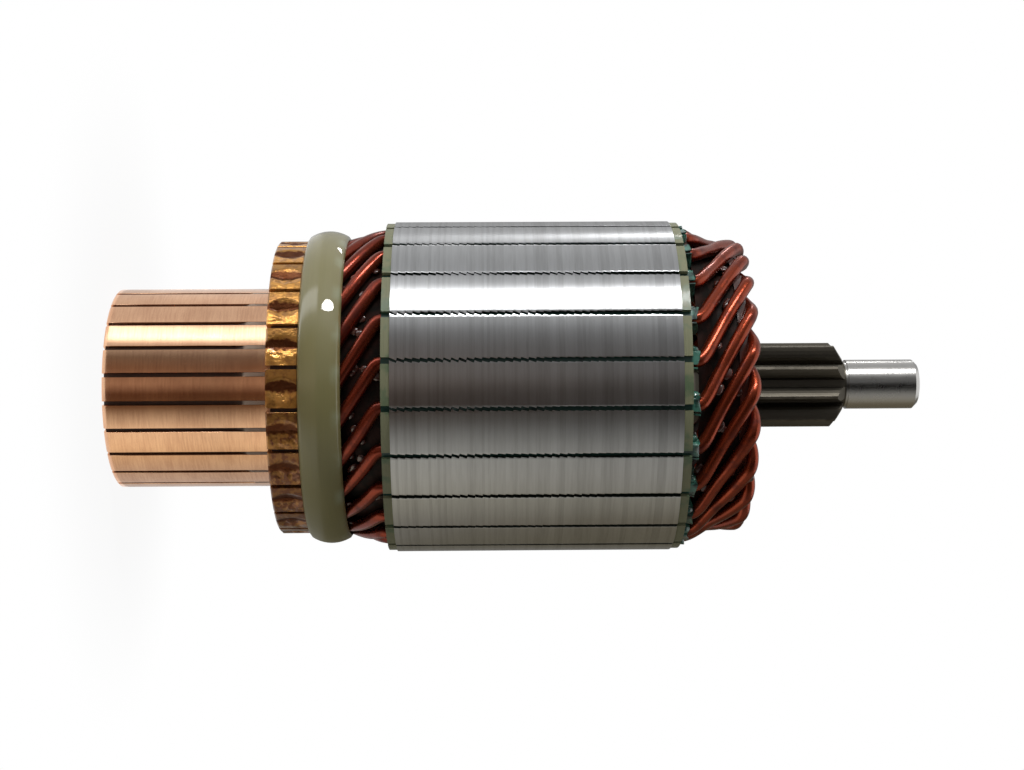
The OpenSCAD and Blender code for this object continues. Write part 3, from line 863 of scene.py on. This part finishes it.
class ROTOR_OT_varnish(bpy.types.Operator):
    """Sets beads of varnish in the grooves beside the wires, and a web of it between the noses."""

    bl_idname = "rotor.varnish"
    bl_label = "Varnish beads"
    seed = 23
    # The stretch of a wire that each of its beads lies on
    stretches = ("band", "front", "front", "drive", "drive")
    # Ranges of a bead's lean around its wire in radians, and of its size and length
    lean = (0.15, 0.6)
    size = (0.7, 1.2)
    long = (1.0, 1.8)
    wide = 1.2
    high = 0.55
    # Side and height of the points around the web's section, and its points and waves for each slot
    web_outline = ((-1, 0), (-1, 1), (1, 1), (1, 0.65), (1, 0.3), (1, 0))
    web_steps = 12
    web_waves = 4

    def execute(self, context):
        winding = context.scene.rotor_winding
        route = CoilRoute(context.scene)
        random = np.random.default_rng(self.seed)
        skins = []
        for number in range(SLOTS):
            for stretch in self.stretches:
                points, faces = self.placed(route, random, stretch)
                skins.append((turned(points, route.direction(number)), faces))
        skins.append(self.web(route, random))
        add_piece("varnish_beads", joined(skins), varnish_finish(winding), crease=80)
        return {"FINISHED"}

    def placed(self, route, random, stretch):
        """One bead on the flank of an outer wire in its slot's direction, on a stretch of the wire."""
        winding = route.winding
        z_range = {
            "band": (BAND_Z1 + 0.3 * MM, BAND_Z1 + 1.4 * MM),
            "front": (BAND_Z1 + MM, SHEET_Z0 - MM),
            "drive": (SHEET_Z1 + 2.5 * MM, route.z_bow - 0.5 * MM),
        }
        z = random.uniform(*z_range[stretch]) + np.array((-1, 0, 1)) * route.slope_step
        turn = route.leg_turn(z, route.outer_turn, -route.launch_turn)
        before, place, after = polar(route.layer_r(z, 0), turn, z)
        along = (after - before) / np.linalg.norm(after - before)
        out = polar(1, turn[1], 0)
        side = np.cross(along, out) * random.choice((-1, 1))
        lean = random.uniform(*self.lean)
        middle = place + winding.bead_set * (math.cos(lean) * side - math.sin(lean) * out)
        size = winding.bead * random.uniform(*self.size)
        axes = size * np.array((self.wide * side, self.high * out, along * random.uniform(*self.long)))
        return bead(middle, axes, any_place(random))

    def web(self, route, random):
        """Varnish between the noses: a thin uneven ring on the layer paper's edge, up to each nose."""
        winding = route.winding
        turns = once_around(SLOTS * self.web_steps)
        knots = once_around(SLOTS * self.web_waves)
        from_nose = nearest(turns - winding.first_slot + route.span / 2)
        top = route.z_top - winding.web_dip * (2 * from_nose / PITCH) ** 2
        foot = reach("rear_layer_insulation")[1] - winding.web_t
        columns = []
        for side, height in self.web_outline:
            wave = np.interp(turns, knots, random.uniform(-1, 1, len(knots)), period=2 * math.pi)
            shift = side * winding.web_t / 2 + winding.web_lean * (0.5 - height) + winding.web_wave * wave
            columns.append(polar(route.nose_r + shift, turns, foot + height * (top - foot)))
        return closed_ring(np.stack(columns, axis=1))


# Core

def slot_outline(core, winding):
    """Half of a slot below its lips, as points of radius and distance from its middle line."""
    half = core.slot_w / 2
    inner_r = CORE_R - winding.slot_depth - winding.wire_d - winding.layer_gap
    corner = half * math.sqrt(0.5)
    return [(CORE_R - core.lip, half), (inner_r, half), (inner_r - corner, corner), (inner_r - half, 0.0)]


def core_skin(core, winding, random):
    """The stack of laminations. Burrs like a saw's teeth lean over its slits."""
    saw = np.array((0, 0.3, 0.6, 0.88))
    arc_points = 6
    count = round((CORE_Z1 - CORE_Z0) / core.burr_pitch)
    part = np.append((np.arange(count)[:, None] + saw).ravel(), count) / count
    z = CORE_Z0 + (CORE_Z1 - CORE_Z0) * part
    tooth = np.append(np.tile(saw / saw[-1], count), 0)
    down = slot_outline(core, winding)
    half_slit = core.slit / 2
    edge_r = CORE_R - core.edge_dip
    lip_r = CORE_R - core.lip
    start = (half_slit + 0.6 * core.edge_dip) / CORE_R
    flat = start + core.edge_dip / CORE_R
    arc = np.concatenate(([start], np.linspace(flat, PITCH - flat, arc_points), [PITCH - start]))
    columns = []
    for number in range(SLOTS):
        direction = winding.first_slot + number * PITCH
        over = burr_reach(core, part, direction, random)
        near = core.burr_least + over * tooth - half_slit
        far = half_slit - core.burr_least - over * (1 - tooth)
        outline = [(edge_r, near), (lip_r, -half_slit), *((r, -y) for r, y in down)]
        outline += [*down[-2::-1], (lip_r, half_slit), (edge_r, far)]
        outline += [(CORE_R * math.cos(turn), CORE_R * math.sin(turn)) for turn in arc]
        for x, y in outline:
            columns.append(turned(np.stack(np.broadcast_arrays(x, y, z), axis=1), direction))
    return np.stack(columns, axis=1)


def burr_reach(core, part, direction, random):
    """How far a slit's burrs reach along the core: most on the heavy side, and less towards the drive end."""
    light_side = 0.2
    drive_loss = 0.65
    fade_len = 0.5
    wavy = 0.25
    uneven = 0.25
    side = 0.5 + 0.5 * math.cos(direction - core.burr_side)
    heavy = light_side + (1 - light_side) * side**2
    fade = 1 - drive_loss * smooth((part - random.uniform(0.1, 0.5)) / fade_len)
    wave = 1 - wavy + wavy * np.sin(part * random.uniform(15, 30) + random.uniform(0, 6))
    return core.burr * heavy * fade * wave * random.uniform(1 - uneven, 1.0, len(part))


class ROTOR_OT_core(bpy.types.Operator):
    """Stacks the laminations with their notched slits, and finishes the end sheets."""

    bl_idname = "rotor.core"
    bl_label = "Core"
    seed = 3
    bore_sides = 96

    def execute(self, context):
        core = context.scene.rotor_core
        random = np.random.default_rng(self.seed)
        sections = core_skin(core, context.scene.rotor_winding, random)
        mesh = self.bored(sections, core.bore_d / 2)
        steel = lamination_finish(core)
        piece = finish_piece("lamination_stack", mesh, steel, crease=40)
        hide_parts("core_stack")
        sheet = end_sheet_finish(core)
        for node in ("front_end_sheet", "rear_end_sheet"):
            dress_node(node, sheet)
        return {"FINISHED"}

    def bored(self, sections, radius):
        """The skin of the stack with its bore, closed by flat ends."""
        work = bmesh.new()
        grid = [add_loop(work, row) for row in sections]
        for row, after in zip(grid, grid[1:]):
            bridge(work, row, after)
        bore = [add_loop(work, polar(radius, once_around(self.bore_sides), z)) for z in (CORE_Z0, CORE_Z1)]
        bridge(work, *bore)
        for outside, inside in zip((grid[0], grid[-1]), bore):
            fill_between(work, outside, inside)
        return as_mesh(work, "lamination_stack")


# Slot liners

def liner_skin(core, route, random):
    """One liner: film folded around both wires in the slot, with a cuff beyond the rear sheet."""
    half = route.winding.wire_d / 2 + core.liner_room + core.liner_t / 2
    inner_r = route.slot_r - route.step
    top_r = CORE_R - core.lip - core.liner_room - core.liner_t / 2
    ruffle = 0.25
    ruffle_step = 0.9
    cuff_rows = 5
    walls = np.linspace(0, 1, 6)
    bend = np.radians(np.linspace(30, 150, 5))
    fold = [(top_r, y * half) for y in (0.6, 0.2, -0.2, -0.6, -0.9)]
    left = [(top_r - 0.1 * half + (inner_r - top_r) * t, -half) for t in walls]
    bottom = [(inner_r - half * math.sin(a), -half * math.cos(a)) for a in bend]
    right = [(r, -y) for r, y in reversed(left)]
    line = np.array(fold + left + bottom + right)
    normal = unit_rows(np.gradient(line, axis=0)[:, ::-1] * (1, -1))
    waves = np.sin(np.arange(len(line)) * ruffle_step + random.uniform(0, 6))
    cuff = core.cuff_len * (1 + ruffle * waves)
    sections = [channel(line, normal, core.liner_t, np.full(len(line), z)) for z in (SHEET_Z0, SHEET_Z1)]
    spread = unit_rows(line - (route.slot_r - route.step / 2, 0))
    for part in np.linspace(1 / cuff_rows, 1, cuff_rows):
        moved = line + spread * (core.cuff_flare * part**2)
        sections.append(channel(moved, normal, core.liner_t, SHEET_Z1 + cuff * part))
    return loft(np.array(sections))


def channel(line, normal, thickness, z):
    """A closed section around a line, at the height of each of its points."""
    shift = normal * (thickness / 2)
    flat = np.concatenate((line + shift, (line - shift)[::-1]))
    return np.column_stack((flat, np.concatenate((z, z[::-1]))))


def mouth_bead(core, route, random):
    """A bead of varnish beside a slot's mouth, on the rear sheet and against the liner's cuff."""
    size = core.bead * random.uniform(0.8, 1.15)
    side = route.winding.wire_d / 2 + core.liner_room + core.liner_t
    out = route.slot_r + random.uniform(-0.2, 0.4) * MM
    middle = np.array((out, -side - 0.45 * size, SHEET_Z1 + 0.5 * size))
    axes = size * np.diag((1, 0.75, 0.95))
    return bead(middle, axes, any_place(random))


class ROTOR_OT_slot_liners(bpy.types.Operator):
    """Folds the green liner film out of the slots."""

    bl_idname = "rotor.slot_liners"
    bl_label = "Slot liners"
    seed = 11

    def execute(self, context):
        core = context.scene.rotor_core
        route = CoilRoute(context.scene)
        random = np.random.default_rng(self.seed)
        skins = []
        for number in range(SLOTS):
            for points, faces in (liner_skin(core, route, random), mouth_bead(core, route, random)):
                skins.append((turned(points, route.direction(number)), faces))
        piece = add_piece("liner_channels", joined(skins), liner_finish(core))
        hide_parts("slot_liners")
        return {"FINISHED"}


# Banding

class ROTOR_OT_banding(bpy.types.Operator):
    """Winds the resin-bonded band around the wires beside the risers."""

    bl_idname = "rotor.banding"
    bl_label = "Banding"
    steps_per_slot = 12
    crown_steps = 22
    swell_width = 0.2
    swell_start = 1.5 * MM
    swell_len = 1.1 * MM
    waves = 3
    seed = 5

    def execute(self, context):
        banding = context.scene.rotor_banding
        route = CoilRoute(context.scene)
        r, z = self.profile(banding, route)
        wire_turn = route.winding.first_slot + float(route.leg_turn(BAND_Z1, route.outer_turn, 0))
        turns = once_around(SLOTS * self.steps_per_slot)
        skin = closed_ring(np.array([self.section(banding, r, z, turn, turn - wire_turn) for turn in turns]))
        piece = add_piece("glass_band", skin, resin_finish(banding, wire_turn))
        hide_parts("banding")
        return {"FINISHED"}

    def profile(self, banding, route):
        """Radius and height of the band's section: the crown, round edges and the inside on the wires."""
        half = (BAND_Z1 - BAND_Z0) / 2
        crown_r = (half**2 + banding.crown**2) / (2 * banding.crown)
        z = np.linspace(-half, half, self.crown_steps)
        r = BAND_R - crown_r + np.sqrt(crown_r**2 - z**2)
        near = np.clip((np.abs(z) - half + banding.edge_round) / banding.edge_round, 0, 1)
        r -= banding.edge_round * (1 - np.sqrt(1 - near**2))
        inside_z = np.array((BAND_Z1, BAND_Z0))
        inside_r = BAND_R - banding.crown - banding.edge_t
        inside_r = np.array((inside_r, inside_r - (route.outer_r(BAND_Z1) - route.outer_r(BAND_Z0))))
        return np.concatenate((r, inside_r)), np.concatenate((z + (BAND_Z0 + BAND_Z1) / 2, inside_z))

    def section(self, banding, r, z, turn, from_wire):
        """The section in one direction, with a bulge at its edge where a wire leaves it."""
        beside = nearest(from_wire) / (self.swell_width * PITCH)
        near_edge = smooth((z - BAND_Z1 + self.swell_start) / self.swell_len)
        bulge = banding.swell * math.exp(-(beside**2)) * near_edge
        wave = banding.wave * noise.noise(Vector(polar(1, turn, self.seed)) * self.waves)
        outer = np.arange(len(r)) < self.crown_steps
        return polar(r + np.where(outer, bulge + wave, 0), turn, z)


# Commutator

class BarShape:
    """The outline of a commutator bar, and the dent in its riser."""

    columns = 39
    dent_rows = 22
    hole_points = 12
    fillet_steps = 4
    track_rows = 4
    # Half a bar's width is 1. This much of it is worn round beside each wall
    worn_share = 0.022
    # Share of a dent's depth that is left at a riser's two faces, and the curve of its flanks
    shallow = 0.4
    flank_power = 0.85
    # Lumps across a riser and along it, and the roughness, gain and layers of their noise
    lumps_across = 4.5
    lumps_along = 3.2
    lump_noise = (0.8, 2.1, 3)

    def __init__(self, commutator, winding):
        self.settings = commutator
        self.track_r = commutator.track_d / 2
        self.riser_r = commutator.riser_d / 2
        self.z0 = commutator.track_len
        self.wire_r = winding.wire_d / 2 + commutator.wire_room
        self.outer_r = self.riser_r - winding.riser_depth
        self.inner_r = self.outer_r - winding.wire_d - winding.layer_gap
        flat = 1 - self.worn_share
        self.across = np.concatenate(([-1.0], np.linspace(-flat, flat, self.columns - 2), [1.0]))
        self.worn = np.where(np.abs(self.across) > (1 + flat) / 2, commutator.long_edge, 0.0)

    def row(self, r, z):
        """Points across the bar at a radius and a height, from wall to wall."""
        r = np.broadcast_to(r, self.across.shape)
        return polar(r, self.across * (PITCH / 2 - np.arcsin(self.settings.bar_gap / 2 / r)), z)

    def dent(self, part, shift):
        """Depth of the staking dent across the riser, at a part of its width."""
        c = self.settings
        s = (self.across + 1) / 2
        swell = 1 - (2 * part - 1) ** 2
        full = self.shallow + (1 - self.shallow) * swell
        off = (s - c.dent_line) / (c.dent_reach * (0.5 + 0.5 * swell))
        depth = c.dent_depth * full * np.clip(1 - np.abs(off), 0, 1) ** self.flank_power
        rough = smooth((off + 0.15) / 0.3) * smooth((1.02 - s) / 0.12)
        places = [Vector((self.lumps_across * u, self.lumps_along * part, 0)) + shift for u in s]
        lumps = np.array([noise.fractal(place, *self.lump_noise) for place in places])
        return np.maximum(depth - c.lump * lumps * rough * full, 0)

    def rows(self, shift):
        """All rows of the bar around its section, and the numbers of the two that start a pierced face."""
        c = self.settings
        in_r = self.track_r - c.bar_depth
        foot_r = in_r - c.foot_depth
        rows = [self.row(in_r, 0), self.row(self.track_r - c.edge, 0)]
        track_z = np.linspace(c.edge, self.z0 - c.fillet, self.track_rows)
        rows += [self.row(self.track_r - self.worn, z) for z in track_z]
        for a in np.linspace(0, math.pi / 2, self.fillet_steps + 1)[1:]:
            rise = c.fillet * (1 - math.cos(a))
            rows.append(self.row(self.track_r + rise, self.z0 - c.fillet + c.fillet * math.sin(a)))
        front = len(rows) - 1
        rows.append(self.row(self.riser_r - c.edge, self.z0))
        for part in np.linspace(0, 1, self.dent_rows):
            z = self.z0 + c.edge + (RISER_Z1 - self.z0 - c.edge) * part
            rows.append(self.row(self.riser_r - self.worn - self.dent(part, shift), z))
        back = len(rows) - 1
        foot_hi = RISER_Z1 - c.foot_set
        rows += [self.row(in_r, RISER_Z1), self.row(in_r, foot_hi - c.dovetail), self.row(foot_r, foot_hi)]
        rows += [self.row(foot_r, c.foot_set), self.row(in_r, c.foot_set + c.dovetail)]
        return rows, front, back

    def hole(self, z):
        """The hole for the two wires, at a height."""
        bow = polar(self.wire_r, np.linspace(-math.pi / 2, math.pi / 2, self.hole_points), z)
        return np.concatenate((bow + (self.outer_r, 0, 0), bow * (-1, -1, 1) + (self.inner_r, 0, 0)))

    def mesh(self, name, shift, direction):
        """The bar as a mesh, turned to its place."""
        rows, front, back = self.rows(shift)
        work = bmesh.new()
        grid = [add_loop(work, turned(row, direction)) for row in rows]
        work.faces.new([row[0] for row in grid])
        work.faces.new([row[-1] for row in grid])
        for k, row in enumerate(grid):
            after = grid[(k + 1) % len(grid)]
            if k not in (front, back):
                for corners in zip(row, row[1:], after[1:], after):
                    work.faces.new(corners)
        holes = [add_loop(work, turned(self.hole(z), direction)) for z in (self.z0, RISER_Z1)]
        bridge(work, *holes)
        for k, hole in zip((front, back), holes):
            fill_between(work, grid[k] + grid[k + 1][::-1], hole)
        return as_mesh(work, name)


class ROTOR_OT_commutator(bpy.types.Operator):
    """Makes the copper bars with their staked risers, and finishes the moulding and the sleeve."""

    bl_idname = "rotor.commutator"
    bl_label = "Commutator"
    seed = 19

    def execute(self, context):
        commutator = context.scene.rotor_commutator
        winding = context.scene.rotor_winding
        shape = BarShape(commutator, winding)
        copper = copper_finish(commutator, winding)
        random = np.random.default_rng(self.seed)
        for number, node in enumerate(BARS):
            direction = winding.first_slot + winding.bar_lead + (number + 0.5) * PITCH
            mesh = shape.mesh("copper_" + node, any_place(random), direction)
            brush_around(mesh)
            piece = finish_piece("copper_" + node, mesh, copper, crease=32)
            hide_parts(node)
        dress_node("commutator_moulding", phenolic_finish(commutator))
        dress_node("commutator_sleeve", sleeve_finish(context.scene.rotor_shaft))
        return {"FINISHED"}


# Shaft

class ROTOR_OT_shaft(bpy.types.Operator):
    """Finishes the shaft: black gear, ground journals."""

    bl_idname = "rotor.shaft"
    bl_label = "Shaft"

    def execute(self, context):
        dress_node("shaft", shaft_finish(context.scene.rotor_shaft))
        return {"FINISHED"}


# Stage

def around(turn, radius, z):
    """A place at a turn from the camera's direction, towards the lower edge of the picture."""
    return Vector((radius * math.sin(turn), -radius * math.cos(turn), z))


def add_lamp(name, place, aim, up, sizes, glow):
    """A lamp with a round glowing face of two sizes that faces a point."""
    width, height = sizes
    lamp = bpy.data.lights.new(name, "AREA")
    lamp.shape = "ELLIPSE"
    lamp.size = width
    lamp.size_y = height
    lamp.energy = glow * math.pi * width * height * math.pi / 4
    show(name, lamp).matrix_world = Matrix.Translation(place) @ facing(place - aim, up)


def facing(back, up):
    """A turn whose Z axis points along back, and whose Y axis points up."""
    back = back.normalized()
    right = up.cross(back).normalized()
    return Matrix((right, back.cross(right), back)).transposed().to_4x4()


def seen(start):
    """1 for rays from the camera, or from a mirror or a glass, and 0 for the rays that light the object."""
    path = start.node("LightPath", output="Is Camera Ray")
    mirrored = path.output("Is Glossy Ray")
    either = start.math("MAXIMUM", path, mirrored)
    return start.math("MAXIMUM", either, path.output("Is Transmission Ray"))


def card_stops(greys):
    """A colour ramp's stops once around, from degrees and greys."""
    return [(degrees / 360, grey) for degrees, grey in greys]


class ROTOR_OT_stage(bpy.types.Operator):
    """Sets up the camera, the lamps, the reflection card, the white world and the floor."""

    bl_idname = "rotor.stage"
    bl_label = "Stage"
    # Greys and warm greys of the card, by degrees from the picture's upper edge past the camera
    wall = (
        (0, 0.44), (40, 0.46), (50, 0.20), (66, 0.11), (80, 0.12), (88, 0.02), (95, 0.0), (108, 0.0),
        (118, 0.06), (140, (0.27, 0.265, 0.25)), (155, (0.315, 0.30, 0.275)), (176, (0.29, 0.27, 0.22)),
        (198, (0.17, 0.145, 0.10)), (236, (0.13, 0.115, 0.08)), (270, 0.25), (311, 0.50), (340, 0.60),
        (360, 0.44),
    )
    apron = (
        (0, 0.68), (12, 0.75), (18, 2.6), (29, 2.6), (38, 0.66), (46, 0.36), (55, (0.16, 0.135, 0.115)),
        (68, (0.20, 0.13, 0.09)), (86, (0.40, 0.295, 0.23)), (97, (0.12, 0.065, 0.04)),
        (112, (0.16, 0.105, 0.065)), (127, (0.60, 0.57, 0.50)), (140, (0.94, 0.89, 0.77)),
        (161, (0.95, 0.89, 0.72)), (175, (0.72, 0.66, 0.52)), (208, 0.56), (280, 0.55), (305, 0.80),
        (345, 0.80), (360, 0.68),
    )
    card_sides = 72
    card_lift = 0.5 * MM

    def execute(self, context):
        stage = context.scene.rotor_stage
        context.scene.view_settings.view_transform = "Standard"
        self.camera(context, stage)
        self.world(context, stage)
        self.floor(stage)
        self.lamps(stage)
        self.card(context, stage)
        return {"FINISHED"}

    def camera(self, context, stage):
        """The camera of the photograph: square to the shaft, whose drive end points right."""
        data = bpy.data.cameras.new("camera")
        data.lens = stage.lens
        camera = show("camera", data)
        place = around(stage.orbit, stage.distance, stage.eye_z)
        aim = Vector((stage.aim_x, 0, stage.aim_z))
        up = Vector((-math.cos(stage.roll), 0, math.sin(stage.roll)))
        camera.matrix_world = Matrix.Translation(place) @ facing(place - aim, up)
        context.scene.camera = camera

    def world(self, context, stage):
        """White to look at, and a soft light that comes mostly from the picture's upper edge."""
        world = bpy.data.worlds.new("studio")
        world.use_nodes = True
        start = Value(world.node_tree)
        toward = start.node("SeparateXYZ", {}, {0: start.node("TexCoord", output="Generated")})
        soft = (toward.output("X") * 0.5 + 0.5).mix(stage.sky, stage.ground)
        colour = seen(start).mix(soft, (1.0, 1.0, 1.0))
        world.node_tree.links.new(colour.socket, world.node_tree.nodes["Background"].inputs["Color"])
        context.scene.world = world

    def floor(self, stage):
        """A white floor that keeps the shadow."""
        half = stage.floor_size / 2
        z = -stage.floor_drop
        mesh = bpy.data.meshes.new("floor")
        corners = [(-half, -half, z), (half, -half, z), (half, half, z), (-half, half, z)]
        mesh.from_pydata(corners, [], [(0, 1, 2, 3)])
        finish = Finish("white_floor", {})
        start = finish.start
        near = finish.radius.ramp(stage.shadow_r, stage.shadow_r / 3)
        white = start.node("Emission", {}, {"Color": (1, 1, 1, 1), "Strength": 1.0})
        lit = start.node("BsdfDiffuse", {}, {"Color": (0.9, 0.9, 0.9, 1)})
        glow = seen(start) * (1.0 - near * stage.shadow)
        mesh.materials.append(finish.surface(start.node("MixShader", {}, {0: glow, 1: lit, 2: white})))
        show("floor", mesh)

    def lamps(self, stage):
        """Two soft lamps above the part, the key in front of it and the rim behind it."""
        aim = Vector((0, 0, stage.lamp_z))
        key = "key", stage.key_turn, (stage.key_w, stage.key_len), stage.key_glow
        rim = "rim", stage.rim_turn, (stage.rim_w, stage.rim_len), stage.rim_glow
        for name, turn, sizes, glow in (key, rim):
            up = around(turn - math.pi / 2, math.sin(stage.lamp_lean), math.cos(stage.lamp_lean))
            add_lamp(name, around(turn, stage.lamp_r, stage.lamp_z), aim, up, sizes, glow)

    def card(self, context, stage):
        """A card around the part that bright metal mirrors: dark on the camera's side. It lights nothing.

        Close to the part its bands bend aside, so that the brush track mirrors them as straight lines.
        """
        turns = np.linspace(0, 2 * math.pi, self.card_sides + 1)
        low = self.card_lift
        outline = ((stage.card_foot, low), (stage.card_r, low), (stage.card_r, stage.card_h))
        points = [around(turn, r, z) for turn in turns for r, z in outline]
        mesh = bpy.data.meshes.new("card")
        mesh.from_pydata(points, [], grid_faces(len(turns), len(outline), False))
        finish = Finish("grey_card", {})
        start = finish.start
        close = context.scene.rotor_commutator.track_d / 2 / finish.radius
        aside = start.math("SINE", (finish.turn + math.pi / 2) * 0.5) * (close + close**3.0)
        turn = (finish.turn + aside) / (2 * math.pi) + 0.5
        wall = start.node("ValToRGB", {"stops": card_stops(self.wall)}, {0: turn})
        apron = start.node("ValToRGB", {"stops": card_stops(self.apron)}, {0: turn})
        colour = finish.radius.ramp(stage.card_near, 2 * stage.card_near).mix(apron, wall)
        mesh.materials.append(finish.surface(start.node("Emission", {}, {"Color": colour, "Strength": 1.0})))
        card = show("card", mesh)
        card.visible_camera = False
        card.visible_diffuse = False
        card.visible_shadow = False
        card.visible_transmission = False


class ROTOR_PT_armature(bpy.types.Panel):
    """Lists the settings and the operators that use them."""

    bl_idname = "ROTOR_PT_armature"
    bl_label = "Starter motor armature"
    bl_space_type = "VIEW_3D"
    bl_region_type = "UI"
    bl_category = "Armature"

    def draw(self, context):
        for operator in OPERATORS:
            self.layout.operator(operator.bl_idname)
        for group in GROUPS:
            box = self.layout.box()
            settings = getattr(context.scene, group)
            for name in settings.__annotations__:
                box.prop(settings, name)


OPERATORS = (
    ROTOR_OT_stage,
    ROTOR_OT_core,
    ROTOR_OT_slot_liners,
    ROTOR_OT_coils,
    ROTOR_OT_varnish,
    ROTOR_OT_banding,
    ROTOR_OT_commutator,
    ROTOR_OT_shaft,
)


def register():
    """Registers the classes and hangs the settings on the scene."""
    for kind in (*GROUPS.values(), *OPERATORS, ROTOR_PT_armature):
        bpy.utils.register_class(kind)
    for name, group in GROUPS.items():
        setattr(bpy.types.Scene, name, PointerProperty(type=group))


def unregister():
    """Takes the settings off the scene and the classes out."""
    for name in GROUPS:
        delattr(bpy.types.Scene, name)
    for kind in (ROTOR_PT_armature, *reversed(OPERATORS), *GROUPS.values()):
        bpy.utils.unregister_class(kind)


def main():
    """Builds the scene."""
    register()
    bpy.ops.rotor.stage()
    bpy.ops.rotor.core()
    bpy.ops.rotor.slot_liners()
    bpy.ops.rotor.coils()
    bpy.ops.rotor.varnish()
    bpy.ops.rotor.banding()
    bpy.ops.rotor.commutator()
    bpy.ops.rotor.shaft()


if __name__ == "__main__":
    main()
